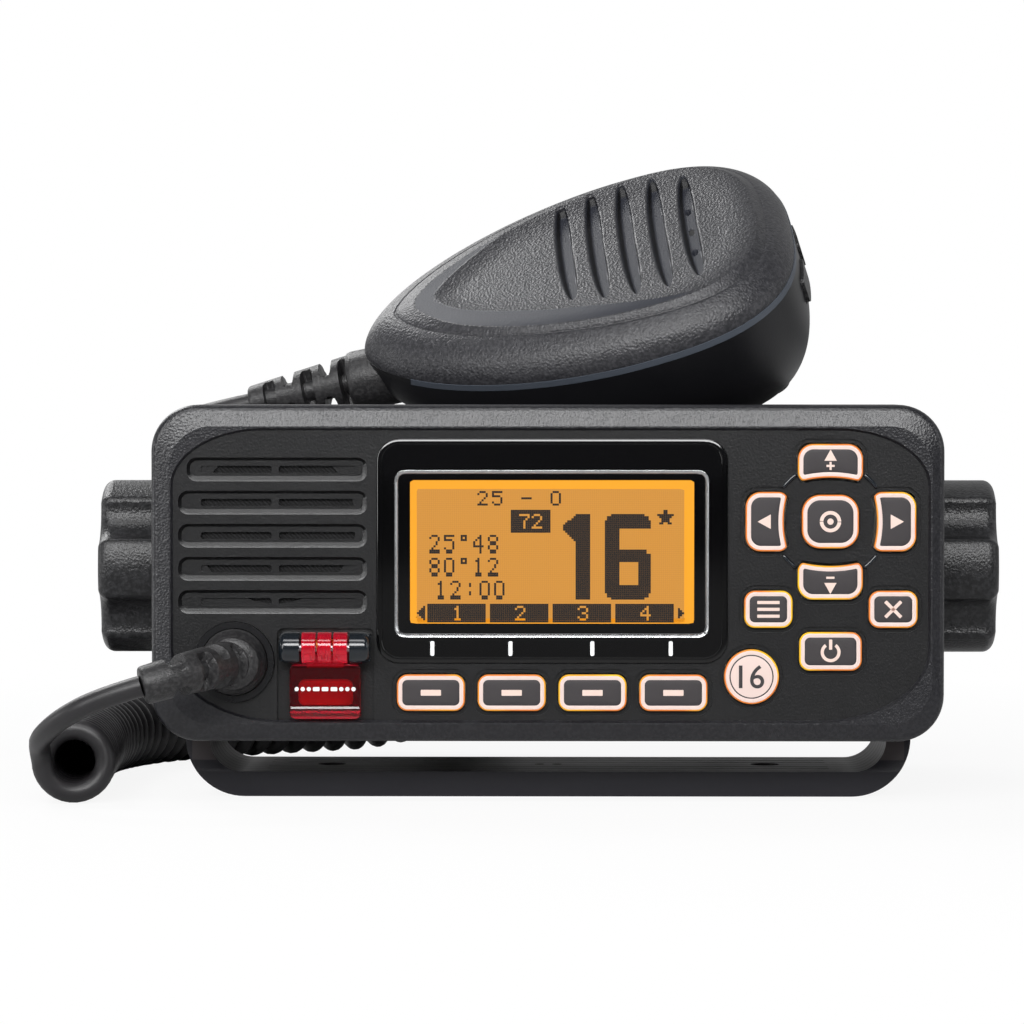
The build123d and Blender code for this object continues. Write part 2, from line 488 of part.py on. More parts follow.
def distress_lugs():
    """The two rounded ears that hold the hinge pin."""
    z = PIVOT_Z + HINGE_V
    ears = None
    for side in (-1, 1):
        inner, outer = DISTRESS_U + side * (BARREL_HALF + FIT), DISTRESS_U + side * LUG_OUTER
        ear = rod_x(BARREL_RADIUS, min(inner, outer), max(inner, outer), HINGE_Y, z)
        foot = prism(span(min(inner, outer), max(inner, outer), HINGE_V - 2.7, HINGE_V + 2.7, 0.3),
                     HINGE_Y + 0.5, POCKET_Y)
        ear = fillet(ear.faces().sort_by(Axis.X)[0 if side < 0 else -1].edges(), 1.4) + foot
        hole_end = inner + side * (PIN_SEAT + FIT)
        ear -= rod_x(PIN_RADIUS + PIN_HOLE_FIT, *sorted((inner, hole_end)), HINGE_Y, z)
        ears = ear if ears is None else ears + ear
    return ears


def distress_pin():
    reach = BARREL_HALF + FIT + PIN_SEAT
    return rod_x(PIN_RADIUS, DISTRESS_U - reach, DISTRESS_U + reach, HINGE_Y, PIVOT_Z + HINGE_V)


def distress_spring():
    """Outer shape of the small torsion spring around the pin."""
    z = PIVOT_Z + HINGE_V
    low, high = DISTRESS_U - SPRING_HALF, DISTRESS_U + SPRING_HALF
    return rod_x(SPRING_RADIUS, low, high, HINGE_Y, z) - rod_x(PIN_RADIUS + FIT, low, high, HINGE_Y, z)


# ---------------------------------------------------------------- microphone cord at the panel
def mic_socket():
    """Ring on the panel and the barrel behind it that takes the cord's boot."""
    ring_front, ring_back, barrel_back = FIELD_Y - 1.0, FIELD_Y + 1.0, SKIN_BACK_Y + SOCKET_DEPTH
    body = disc(SOCKET_U, SOCKET_V, SOCKET_RING, ring_front, ring_back)
    body += disc(SOCKET_U, SOCKET_V, SOCKET_BARREL, ring_back, barrel_back)
    return body - disc(SOCKET_U, SOCKET_V, BOOT_RADIUS + BOOT_FIT, ring_front, barrel_back - SOCKET_FLOOR)


def tube(points, diameter, bore=0.0):
    """Straight runs joined by the largest tangent arcs that they leave room for."""
    points = [Vector(*p) for p in points]
    radii = []
    for a, b, c in zip(points, points[1:], points[2:]):
        turn = radians((b - a).get_angle(c - b))
        radii.append(0.45 * min((b - a).length, (c - b).length) / tan(turn / 2))
    path = FilletPolyline(*points, radius=radii)
    start = Plane(origin=points[0], z_dir=points[1] - points[0])
    ring = Circle(diameter / 2) - Circle(bore / 2) if bore else Circle(diameter / 2)
    solid = sweep(start * ring, path=path)
    expected = pi * (diameter ** 2 - bore ** 2) / 4 * path.length
    print("tube", round(path.length, 1), "mm, volume ratio", round(solid.volume / expected, 4),
          "radii", [round(r, 1) for r in radii])
    return solid


def along(points, share):
    """Point and direction at a share of a smooth curve through the points."""
    curve = Spline(*points)
    return curve @ share, curve % share


def panel_cord_boot():
    """Domed plug in the socket, and a ribbed relief that bends away to the left."""
    plug = disc(SOCKET_U, SOCKET_V, BOOT_RADIUS, FIELD_Y - BOOT_DOME, SKIN_BACK_Y + SOCKET_DEPTH - 2.0)
    plug = fillet(plug.faces().sort_by(Axis.Y)[0].edges(), 3.6)
    end, way = Vector(*FRONT_TAIL[0]), (Vector(*FRONT_TAIL[1]) - Vector(*FRONT_TAIL[0])).normalized()
    boot = plug + tube(PANEL_BOOT + (tuple(end - way * 1.5),), 5.2)
    for i, share in enumerate((0.16, 0.36, 0.56, 0.76)):
        spot, heading = along(PANEL_BOOT + (FRONT_TAIL[0],), share)
        ring = Plane(origin=spot - heading * 1.3, z_dir=heading) * Circle(4.2 - 0.12 * i)
        boot += extrude(ring, amount=2.6)
    return boot + extrude(Plane(origin=end - way * 3.6, z_dir=way) * Circle(3.6), amount=3.6)


# ---------------------------------------------------------------- case
def housing():
    """Moulded case: a flange behind the panel, four walls, knob bosses and board standoffs."""
    inset = PANEL_RIM + FLANGE_FIT
    flange = RectangleRounded(PANEL_WIDTH - 2 * inset, PANEL_HEIGHT - 2 * inset, PANEL_CORNER - inset)
    walls = RectangleRounded(2 * CASE_HALF, 2 * CASE_HALF_HEIGHT, CASE_CORNER)
    inside = RectangleRounded(2 * (CASE_HALF - CASE_WALL), 2 * (CASE_HALF_HEIGHT - CASE_WALL),
                              CASE_CORNER - CASE_WALL)
    case = prism(flange, FLANGE_Y, PANEL_BACK_Y) + prism(walls, PANEL_BACK_Y, CASE_REAR)
    case -= prism(inside, FLANGE_Y, CASE_REAR)
    inner_end = CASE_HALF - INSERT_LENGTH
    bosses = mirrored(rod_x(INSERT_RADIUS + INSERT_WALL, inner_end, CASE_HALF - CASE_WALL / 2))
    bores = mirrored(rod_x(INSERT_RADIUS, inner_end - 1, CASE_HALF + 1))
    case = case + bosses - bores
    for x in (-BOARD_HALF + 5, BOARD_HALF - 5):
        for y in (BOARD_FRONT + 7, BOARD_FRONT + BOARD_LENGTH - 7):
            case += Pos(x, y, BOARD_FLOOR_Z - STANDOFF / 2 - 0.5) * Cylinder(STANDOFF_RADIUS, STANDOFF + 1)
    for spot in four_corners(CASE_SCREW):
        case += disc(*spot, SCREW_BOSS_RADIUS, CASE_REAR - SCREW_BOSS_LENGTH, CASE_REAR)
        case -= disc(*spot, SCREW_RADIUS + 0.02, CASE_REAR - SCREW_BOSS_LENGTH + 2, CASE_REAR)
    for spot in four_corners(PANEL_SCREW):
        case -= disc(*spot, PANEL_SCREW_RADIUS + 0.17, FLANGE_Y, PANEL_BACK_Y)
    return case


def panel_gasket():
    """Rubber ring between the panel's step and the case flange."""
    outer_wall, inner_wall = PANEL_RIM + FLANGE_FIT, PANEL_RIM + LEDGE - 0.3
    return cavity(outer_wall, LEDGE_Y, FLANGE_Y) - cavity(inner_wall, LEDGE_Y, FLANGE_Y)


def heat_sink():
    """Finned rear plate with a plain area for the antenna connector and the leads."""
    plate = RectangleRounded(2 * CASE_HALF, 2 * CASE_HALF_HEIGHT, CASE_CORNER)
    sink = prism(plate, CASE_REAR, SINK_BACK_Y)
    count = int((2 * CASE_HALF - FIN_SIDE - PLAIN_AREA) // FIN_PITCH) + 1
    for i in range(count):
        x = -CASE_HALF + FIN_SIDE + i * FIN_PITCH
        reach = CASE_HALF_HEIGHT - (2 * SCREW_INSET if i < 2 else 1.0)
        sink += prism(span(x - FIN_THICK / 2, x + FIN_THICK / 2, -reach, reach, 0.3), SINK_BACK_Y,
                      FIN_BACK_Y)
    sink -= disc(ANTENNA_X, ANTENNA_V, 5.2, CASE_REAR, SINK_BACK_Y)
    for u, v in GROMMETS:
        sink -= disc(u, v, LEAD_RADIUS + 1.3, CASE_REAR, SINK_BACK_Y)
    for spot in four_corners(CASE_SCREW):
        sink -= disc(*spot, SCREW_RADIUS + 0.2, CASE_REAR, SINK_BACK_Y)
    return sink


def lead_grommets():
    """Rubber grommets for the power lead and the data lead."""
    group = Part()
    for u, v in GROMMETS:
        ring = disc(u, v, LEAD_RADIUS + 2.8, SINK_BACK_Y, SINK_BACK_Y + 2.0)
        ring += disc(u, v, LEAD_RADIUS + 1.25, CASE_REAR, SINK_BACK_Y)
        ring += disc(u, v, LEAD_RADIUS + 2.4, CASE_REAR - 1.5, CASE_REAR)
        group += ring - disc(u, v, LEAD_RADIUS, CASE_REAR - 1.5, SINK_BACK_Y + 2.0)
    return group


def antenna_connector():
    """Threaded coaxial socket: shell with a flange, and its centre contact."""
    shell = disc(ANTENNA_X, ANTENNA_V, 11.0, SINK_BACK_Y, SINK_BACK_Y + 1.5)
    shell += disc(ANTENNA_X, ANTENNA_V, ANTENNA_RADIUS, SINK_BACK_Y, SINK_BACK_Y + ANTENNA_LENGTH)
    shell += disc(ANTENNA_X, ANTENNA_V, 5.1, CASE_REAR - 2, SINK_BACK_Y)
    shell -= disc(ANTENNA_X, ANTENNA_V, 4.0, CASE_REAR - 2, SINK_BACK_Y + ANTENNA_LENGTH)
    mouth = disc(ANTENNA_X, ANTENNA_V, 6.3, SINK_BACK_Y + 3.0, SINK_BACK_Y + ANTENNA_LENGTH)
    sleeve = disc(ANTENNA_X, ANTENNA_V, 2.4, CASE_REAR - 5, SINK_BACK_Y + ANTENNA_LENGTH - 2)
    bore = disc(ANTENNA_X, ANTENNA_V, 1.9, SINK_BACK_Y, SINK_BACK_Y + ANTENNA_LENGTH - 2)
    return shell - mouth + (sleeve - bore)


def antenna_insulator():
    """White ring between the connector's shell and its contact."""
    body = disc(ANTENNA_X, ANTENNA_V, 4.0, CASE_REAR - 2, SINK_BACK_Y + 3.0)
    body += disc(ANTENNA_X, ANTENNA_V, 6.2, SINK_BACK_Y + 3.0, SINK_BACK_Y + 5.5)
    return body - disc(ANTENNA_X, ANTENNA_V, 2.4, CASE_REAR - 2, SINK_BACK_Y + 5.5)


def case_screws():
    """Four screws in the heat sink's corners and four behind the panel's corners."""
    screws, top_y, panel_top_y = [], SINK_BACK_Y + SCREW_HEAD, PANEL_BACK_Y + PANEL_SCREW_HEAD
    for spot in four_corners(CASE_SCREW):
        head = disc(*spot, SCREW_HEAD_RADIUS, SINK_BACK_Y, top_y) - hex_socket(*spot, top_y)
        screws.append(head + disc(*spot, SCREW_RADIUS, CASE_REAR - SCREW_BOSS_LENGTH + 3, SINK_BACK_Y))
    for spot in four_corners(PANEL_SCREW):
        head = disc(*spot, PANEL_SCREW_HEAD_RADIUS, PANEL_BACK_Y, panel_top_y)
        head -= hex_socket(*spot, panel_top_y)
        shank = disc(*spot, PANEL_SCREW_RADIUS, LEDGE_Y - PANEL_THREAD_DEPTH + 0.5, PANEL_BACK_Y)
        screws.append(head + shank)
    return Part() + screws


def hex_socket(u, v, head_y):
    return prism(Pos(u, v) * RegularPolygon(1.1, 6), head_y - 1.0, head_y)


def main_board():
    """Main board on its standoffs, with two filter cans and a regulator."""
    middle = Pos(0, BOARD_FRONT + BOARD_LENGTH / 2, BOARD_FLOOR_Z + BOARD_THICK / 2)
    board = middle * Box(2 * BOARD_HALF, BOARD_LENGTH, BOARD_THICK)
    for x, y, width, depth, height in (
            (-BOARD_HALF + 14, -8, 14, 12, 6), (-BOARD_HALF + 14, 10, 12, 12, 5),
            (BOARD_HALF - 12, 36, 10, 16, 7)):
        board += Pos(x, y, BOARD_TOP_Z + height / 2) * Box(width, depth, height)
    return board


def rf_shield():
    """Tinned can over the receiver."""
    can = Pos(8, 10, BOARD_TOP_Z + 3.5) * Box(46, 40, 7)
    return can - Pos(8, 10, BOARD_TOP_Z + 3.0) * Box(44.8, 38.8, 6)


def power_module():
    """Transmitter module, flat against the heat sink and standing on the board."""
    base = Pos(-18, CASE_REAR - 1.5, BOARD_TOP_Z + 5.5) * Box(58, 3, 11)
    return base + Pos(-18, CASE_REAR - 7, BOARD_TOP_Z + 3.5) * Box(48, 8, 7)


def pivot_inserts():
    """Threaded inserts that take the clamp knobs' bolts."""
    body = rod_x(INSERT_RADIUS - 0.02, CASE_HALF - INSERT_LENGTH, CASE_HALF)
    bore = rod_x(BOLT_RADIUS + BOLT_FIT, CASE_HALF - INSERT_LENGTH, CASE_HALF)
    return mirrored(body - bore)


def bracket_pads():
    """Friction pads between the case and the bracket's arms."""
    outer = CASE_HALF + PAD_THICK
    pad = rod_x(PAD_RADIUS, CASE_HALF, outer) - rod_x(INSERT_RADIUS + 0.5, CASE_HALF, outer)
    return mirrored(pad)


# ---------------------------------------------------------------- bracket and knobs
def bracket():
    """U-shaped swivel bracket whose arms narrow towards the pivot, with slim base grooves and screw holes."""
    outer = u_profile(BRACKET_HALF, 0.0, BRACKET_OUTER_ROUND)
    inner = u_profile(BRACKET_HALF - BRACKET_ARM, BRACKET_BASE, BRACKET_INNER_ROUND)
    half = BRACKET_DEPTH / 2
    solid = extrude(Plane(origin=(0, half, 0), x_dir=(1, 0, 0), z_dir=(0, -1, 0)) * (outer - inner),
                    amount=BRACKET_DEPTH)
    foot = Pos(0, BRACKET_BASE / 2) * Rectangle(BRACKET_DEPTH, BRACKET_BASE)
    side = make_hull(foot.edges() + (Pos(0, PIVOT_Z) * Circle(ARM_TOP_RADIUS)).edges())
    solid &= extrude(Plane(origin=(-BRACKET_HALF - 1, 0, 0), x_dir=(0, 1, 0), z_dir=(1, 0, 0)) * side,
                     amount=2 * BRACKET_HALF + 2)
    solid -= mirrored(rod_x(PIVOT_HOLE_RADIUS, BRACKET_HALF - BRACKET_ARM - 1, BRACKET_HALF + 1))
    for x, radius in ((-SCREW_HOLE_X, SCREW_HOLE_RADIUS), (SCREW_HOLE_X, SCREW_HOLE_RADIUS),
                      (-1.8, 1.1), (1.8, 1.1)):
        solid -= Pos(x, 0, BRACKET_BASE / 2) * Cylinder(radius, BRACKET_BASE + 1)
    for i in (-2, -1, 1, 2):
        groove = Box(2 * (BRACKET_HALF - BRACKET_OUTER_ROUND) - 8, RIB_GROOVE, RIB_GROOVE)
        solid -= Pos(0, i * RIB_PITCH, BRACKET_BASE) * groove
    return solid


def u_profile(half_width, bottom, corner):
    """Half-open U region, rounded at its two lower corners and running well above the arms."""
    top = PIVOT_Z + BRACKET_DEPTH
    sketch = Pos(0, (bottom + top) / 2) * Rectangle(2 * half_width, top - bottom)
    return fillet(sketch.vertices().sort_by(Axis.Y)[:2], corner)


def knob(side):
    """Lobed clamp knob with its moulded-in bolt."""
    sketch = Circle(KNOB_RADIUS)
    for i in range(LOBES):
        angle = radians(360 / LOBES * (i + 0.5) + 180)
        place = Pos(FINGER_CUT_PLACE * cos(angle), FINGER_CUT_PLACE * sin(angle))
        sketch -= place * Circle(FINGER_CUT_RADIUS)
    sketch = fillet(sketch.vertices(), 1.5)
    plane = Plane(origin=(KNOB_INNER, 0, PIVOT_Z), x_dir=(0, 1, 0), z_dir=(1, 0, 0))
    body = extrude(plane * sketch, amount=KNOB_OUTER - KNOB_INNER)
    body = fillet(body.faces().sort_by(Axis.X)[-1].edges(), 2.2)
    bolt_head = KNOB_OUTER - BOLT_HEAD_DEPTH
    body -= rod_x(BOLT_RADIUS, KNOB_INNER, bolt_head)
    body += rod_x(BOLT_RADIUS, CASE_HALF - BOLT_GRIP, bolt_head)
    return body if side > 0 else mirror(body, about=Plane.YZ)


def washer(side):
    ring = rod_x(WASHER_RADIUS, BRACKET_HALF, KNOB_INNER)
    ring -= rod_x(BOLT_RADIUS + 0.1, BRACKET_HALF, KNOB_INNER)
    return ring if side > 0 else mirror(ring, about=Plane.YZ)


# ---------------------------------------------------------------- microphone
def mic_half_points(inset, steps=9):
    """Half of the egg outline, as (s, half-width) from the cord end to the top end.

    Cord part: w = W (1 - x^1.8)^0.625; top part: w = W (1 - x^2.7)^(1/2.7), x from the widest place.
    """
    width = MIC_HALF_WIDTH - inset
    cord, top = MIC_WIDEST - inset, MIC_LENGTH - MIC_WIDEST - inset
    points = []
    for i in range(steps):
        angle = pi / 2 * (1 - i / steps)
        points.append((MIC_WIDEST - cord * sin(angle) ** (2 / 1.8), width * cos(angle) ** 1.25))
    for i in range(steps + 1):
        angle = pi / 2 * i / steps
        points.append((MIC_WIDEST + top * sin(angle) ** 0.74, width * max(cos(angle), 0) ** 0.74))
    points[0], points[-1] = (points[0][0], 0.0), (points[-1][0], 0.0)
    return points


def mic_section(inset, height):
    """Closed egg-shaped wire at a height that is a function of s."""
    half = mic_half_points(inset)
    near = [(s, -w, height(s)) for s, w in half]
    far = [(s, w, height(s)) for s, w in reversed(half)]
    return Wire([Spline(*near), Spline(*far)])


def mic_loft(sections):
    """Solid through (inset, height function) sections, in microphone coordinates."""
    return Solid.make_loft([mic_section(inset, height) for inset, height in sections])


def back_depth(s):
    return BACK_DEPTH_START + (BACK_DEPTH_END - BACK_DEPTH_START) * s / MIC_LENGTH


def back_level(share, lift=0.0):
    return lambda s: -HALF_STRIP - share * (back_depth(s) - HALF_STRIP) + lift


def level(height):
    return lambda s: height


def mic_prism(sketch, low, high):
    """A sketch in (s, t), made solid between two heights."""
    return extrude(Plane.XY.offset(low) * sketch, amount=high - low)


def boot_plane(distance):
    way = Vector(*MIC_BOOT_DIR)
    return Plane(origin=Vector(*MIC_BOOT_START) + way * distance, z_dir=way)


def boot_hole():
    """The round opening in both shells that the cord boot's collar fills."""
    return extrude(boot_plane(-8.0) * Circle(MIC_COLLAR_RADIUS + BOOT_FIT), amount=14.0)


def side_prism(s, h, length, height, corner, t_low, t_high):
    """Rounded bar across the microphone, between two t values."""
    plane = Plane(origin=(s, t_high, h), x_dir=(1, 0, 0), z_dir=(0, -1, 0))
    return extrude(plane * RectangleRounded(length, height, corner), amount=t_high - t_low)


def end_prism(t, h, width, height, s_low, s_high):
    """Rounded bar along the microphone, between two s values."""
    plane = Plane(origin=(s_low, t, h), x_dir=(0, 1, 0), z_dir=(1, 0, 0))
    return extrude(plane * RectangleRounded(width, height, 1.4), amount=s_high - s_low)


def mic_slab(inset):
    """Tall egg-shaped block used to trim the keys to the shell's curve."""
    return mic_loft([(inset, level(-30.0)), (inset, level(10.0))])


def mic_front_shell():
    """Crowned face with five grooves, screw posts and a place for the element."""
    outer = mic_loft([(0.0, level(HALF_STRIP)), (0.6, level(3.6)), (2.8, level(6.6)),
                      (6.8, level(8.4)), (12.5, level(MIC_CROWN))])
    inner = mic_loft([(MIC_WALL, level(HALF_STRIP - 0.1)), (MIC_WALL + 0.6, level(2.6)),
                      (MIC_WALL + 3.2, level(5.4)), (MIC_WALL + 7.0, level(6.4)),
                      (MIC_WALL + 12.5, level(MIC_CROWN - MIC_WALL))])
    shell = outer - inner
    ceiling = MIC_CROWN - MIC_WALL
    for s, t_low, t_high in GROOVES:
        groove = span(s - GROOVE_WIDTH / 2, s + GROOVE_WIDTH / 2, t_low, t_high, GROOVE_WIDTH / 2 - 0.01)
        shell -= mic_prism(groove, MIC_CROWN - GROOVE_DEPTH, MIC_CROWN + 1)
    last = GROOVES[-1][0]
    for t in (-8.0, 0.0, 8.0):
        shell -= mic_prism(rounded(last, t, 1.2, 4.0, 0.5), ceiling - 1, MIC_CROWN)
    for s, t in MIC_SCREWS:
        post = mic_prism(Pos(s, t) * Circle(MIC_POST_RADIUS), MIC_BOARD_H - 1.0, ceiling + 0.6)
        shell += post - mic_prism(Pos(s, t) * Circle(1.32), MIC_BOARD_H - 1.0, 2.0)
    for s in (32.0, 66.0):
        for t in (-15.0, 15.0):
            shell += mic_prism(Pos(s, t) * Circle(1.8), MIC_BOARD_H + BOARD_THICK, ceiling + 0.6)
    return MIC_FRAME.location * shell - boot_hole()


def mic_back_shell():
    """Deep back with the push-to-talk window, key holes, screw columns and hanger boss."""
    outer = mic_loft([(0.0, back_level(0.0)), (0.2, back_level(0.35)), (2.4, back_level(0.7)),
                      (6.0, back_level(0.9)), (10.8, back_level(1.0))])
    inner = mic_loft([(MIC_WALL, back_level(0.0, 0.1)), (MIC_WALL + 0.2, back_level(0.32)),
                      (MIC_WALL + 2.6, back_level(0.62)), (MIC_WALL + 6.2, back_level(0.8)),
                      (MIC_WALL + 10.8, back_level(1.0, MIC_WALL))])
    shell = outer - inner
    for s, t in MIC_SCREWS:
        floor = -back_depth(s)
        shell += mic_prism(Pos(s, t) * Circle(MIC_COLUMN_RADIUS), floor + 1.0, MIC_BOARD_H - 1.0)
        shell -= mic_prism(Pos(s, t) * Circle(1.5), floor - 3, MIC_BOARD_H)
        shell -= mic_prism(Pos(s, t) * Circle(2.7), floor - 3, floor + MIC_HEAD_SEAT)
    boss = mic_prism(Pos(HANGER_S, 0) * Circle(HANGER_BOSS_RADIUS), -back_depth(HANGER_S) - HANGER_BOSS,
                     -back_depth(HANGER_S) + 1.0)
    shell += fillet(boss.faces().sort_by(Axis.Z)[0].edges(), 1.2)
    shell -= side_prism(PTT_S, PTT_H, PTT_LENGTH + 0.8, PTT_HEIGHT + 0.8, 4.4, PTT_FLANGE_T - PTT_TRAVEL,
                        MIC_HALF_WIDTH + 8)
    for t in (-MIC_KEY_T, MIC_KEY_T):
        shell -= end_prism(t, MIC_KEY_H, MIC_KEY_SIZE[0] + 0.5, MIC_KEY_SIZE[1] + 0.5, 85, 96)
    return MIC_FRAME.location * shell - boot_hole()


def mic_seal_strip():
    """Thin gasket that shows as a line between the two shells."""
    outer = mic_loft([(-0.15, level(-HALF_STRIP)), (-0.15, level(HALF_STRIP))])
    inner = mic_loft([(2.0, level(-HALF_STRIP - 0.1)), (2.0, level(HALF_STRIP + 0.1))])
    return MIC_FRAME.location * (outer - inner) - boot_hole()


def hanger_button():
    """Mushroom button that hooks into a bulkhead clip."""
    seat = -back_depth(HANGER_S) - HANGER_BOSS
    neck = mic_prism(Pos(HANGER_S, 0) * Circle(3.8), -HANGER_REACH + 2.0, seat)
    head = mic_prism(Pos(HANGER_S, 0) * Circle(HANGER_HEAD), -HANGER_REACH, -HANGER_REACH + 3.4)
    head = fillet(head.faces().sort_by(Axis.Z)[0].edges(), 1.0)
    return MIC_FRAME.location * (neck + head)


def ptt_button():
    """Long push-to-talk bar in the far side wall, with a flange inside."""
    flange_top = PTT_FLANGE_T + PTT_FLANGE_THICK
    bar = side_prism(PTT_S, PTT_H, PTT_LENGTH, PTT_HEIGHT, 4.0, flange_top, MIC_HALF_WIDTH + 8)
    bar &= mic_slab(-PTT_PROUD)
    flange = side_prism(PTT_S, PTT_H, PTT_LENGTH - 8, PTT_HEIGHT - 5, 2.0, PTT_FLANGE_T, flange_top)
    return MIC_FRAME.location * (bar + flange)


def mic_key(side):
    """Small key in the microphone's top end."""
    t = side * MIC_KEY_T
    bar = end_prism(t, MIC_KEY_H, *MIC_KEY_SIZE, 86.5, 96) & mic_slab(-MIC_KEY_PROUD)
    return MIC_FRAME.location * (bar + end_prism(t, MIC_KEY_H, MIC_KEY_SIZE[0] + 1.4, 5.0, 85.2, 86.5))


def mic_board():
    width = 2 * (PTT_FLANGE_T - PTT_TRAVEL - 0.6)
    board = mic_prism(rounded(49.0, 0, 42.0, width, 2), MIC_BOARD_H, MIC_BOARD_H + BOARD_THICK)
    part = mic_prism(rounded(46.0, 0, 14.0, 10.0, 0.5), MIC_BOARD_H + BOARD_THICK, MIC_BOARD_H + 4.0)
    return MIC_FRAME.location * (board + part)


def mic_element():
    """Electret element in its sleeve, under the openings of the last groove."""
    ceiling = MIC_CROWN - MIC_WALL
    return MIC_FRAME.location * mic_prism(Pos(GROOVES[-1][0] - 1.2, 0) * Circle(4.8), ceiling - 6.0, ceiling)


def mic_screws():
    screws = []
    for s, t in MIC_SCREWS:
        seat = -back_depth(s) + MIC_HEAD_SEAT
        head = mic_prism(Pos(s, t) * Circle(2.4), seat - 1.5, seat)
        screws.append(head + mic_prism(Pos(s, t) * Circle(1.28), seat, 1.5))
    return MIC_FRAME.location * (Part() + screws)


def mic_cord_boot():
    """Collar in the shells' opening, then a tapered relief with four ribs and a tip."""
    def slice_of(start, length, radius):
        return extrude(boot_plane(start) * Circle(radius), amount=length)

    boot = slice_of(-5.0, 9.8, MIC_COLLAR_RADIUS)
    boot += loft([boot_plane(4.0) * Circle(4.6), boot_plane(MIC_BOOT_LENGTH) * Circle(2.9)])
    for start, length, radius in ((7.4, 2.8, 5.6), (11.6, 2.3, 5.1), (15.4, 2.0, 4.6), (18.9, 1.9, 4.1)):
        boot += slice_of(start, length, radius)
    return boot + slice_of(MIC_BOOT_LENGTH - 3.6, 3.6, 3.4)


# ---------------------------------------------------------------- build
def all_parts():
    parts = {
        "front_panel": front_panel(), "display_window": display_window(), "lcd_glass": lcd_glass(),
        "lcd_backlight": lcd_backlight(), "keypad_mat": keypad_mat(), "front_board": front_board(),
        "speaker_cloth": speaker_cloth(), "speaker_frame": speaker_frame(), "speaker_cone": speaker_cone(),
        "distress_cover": distress_cover(), "distress_lugs": distress_lugs(),
        "distress_pin": distress_pin(), "distress_spring": distress_spring(),
        "mic_socket": mic_socket(), "panel_cord_boot": panel_cord_boot(),
        "housing": housing(), "panel_gasket": panel_gasket(), "heat_sink": heat_sink(),
        "lead_grommets": lead_grommets(), "antenna_connector": antenna_connector(),
        "antenna_insulator": antenna_insulator(), "case_screws": case_screws(),
        "main_board": main_board(), "rf_shield": rf_shield(), "power_module": power_module(),
        "pivot_inserts": pivot_inserts(), "bracket_pads": bracket_pads(), "bracket": bracket(),
        "knob_left": knob(-1), "knob_right": knob(1), "washer_left": washer(-1), "washer_right": washer(1),
        "mic_front_shell": mic_front_shell(), "mic_back_shell": mic_back_shell(),
        "mic_seal_strip": mic_seal_strip(), "hanger_button": hanger_button(), "ptt_button": ptt_button(),
        "mic_key_up": mic_key(1), "mic_key_down": mic_key(-1), "mic_board": mic_board(),
        "mic_element": mic_element(), "mic_screws": mic_screws(), "mic_cord_boot": mic_cord_boot(),
        "cord_front_tail": tube(FRONT_TAIL, CORD_DIAMETER),
        "curly_cord": tube(COIL, COIL_DIAMETER, COIL_DIAMETER - 2 * CORD_DIAMETER),
        "cord_mic_tail": tube(MIC_TAIL, CORD_DIAMETER),
    }
    parts.update({name: key(name) for name in KEYS})
    return parts


if __name__ == "__main__":
    os.makedirs("parts", exist_ok=True)
    for node, shape in all_parts().items():
        export_step(shape, f"parts/{node}.step")
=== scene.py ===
"""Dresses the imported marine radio: display, keys, microphone, strain reliefs, curly cord and finishes."""

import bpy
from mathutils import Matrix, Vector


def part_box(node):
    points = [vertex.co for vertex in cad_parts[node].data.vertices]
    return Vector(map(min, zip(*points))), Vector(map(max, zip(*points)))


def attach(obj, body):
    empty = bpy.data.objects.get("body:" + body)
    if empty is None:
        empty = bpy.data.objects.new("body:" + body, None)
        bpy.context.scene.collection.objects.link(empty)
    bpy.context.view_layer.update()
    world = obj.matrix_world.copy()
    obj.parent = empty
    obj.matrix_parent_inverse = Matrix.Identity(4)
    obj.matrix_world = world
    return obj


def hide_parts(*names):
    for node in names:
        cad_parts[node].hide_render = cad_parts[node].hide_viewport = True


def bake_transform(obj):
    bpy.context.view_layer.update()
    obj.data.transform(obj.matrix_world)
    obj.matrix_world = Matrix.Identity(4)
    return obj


bl_info = {
    "name": "Marine Radio Dress",
    "version": (1, 0, 0),
    "blender": (4, 5, 0),
    "location": "3D View > Sidebar > Marine Radio",
    "description": "Makes the radio's detailed pieces and finishes around its packed frame",
    "category": "Object",
}

from math import atan2, hypot, pi, radians

import bmesh
import bpy
import numpy as np
from bpy.props import FloatProperty, FloatVectorProperty, IntProperty, PointerProperty
from mathutils import Vector

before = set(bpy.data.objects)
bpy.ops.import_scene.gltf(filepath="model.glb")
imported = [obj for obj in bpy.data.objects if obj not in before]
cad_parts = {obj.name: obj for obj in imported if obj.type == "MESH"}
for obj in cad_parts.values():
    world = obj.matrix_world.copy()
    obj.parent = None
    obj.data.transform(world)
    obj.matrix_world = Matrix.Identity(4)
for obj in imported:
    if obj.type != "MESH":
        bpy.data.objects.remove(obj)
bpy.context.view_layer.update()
CAD_PANEL = [tuple(corner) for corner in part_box("front_panel")]

MM = 0.001
PIVOT_Z = 45.8
KEY_FLANGE, ARROW_SCOOP = 0.5, 0.9
BOXED_KEYS = ("soft_key_1", "soft_key_2", "soft_key_3", "soft_key_4", "menu_key", "clear_key", "power_key")
ARROWS = {"up_key": (0, 1), "down_key": (0, -1), "left_key": (-1, 0), "right_key": (1, 0)}

# the panel's sunk field: half sizes, shift from the panel's middle, lower corners, what the upper ones lack
FIELD_HALF, FIELD_SHIFT = (74.45, 28.6), (0.55, -0.4)
FIELD_CORNER, FIELD_CORNER_LESS, FIELD_Y = (21.6, 14.0), (3.6, 3.0), -37.2

# the grille's bays, from the window's left edge and the swivel axis
BAY_LEFT_INSETS, BAY_SIZE, BAY_CORNER = (1.7, 0, 0, 0, 0), (37.4, 4.7), 1.9
BAY_PLACE, BAY_PITCH = (20.54, 7.42), 6.54

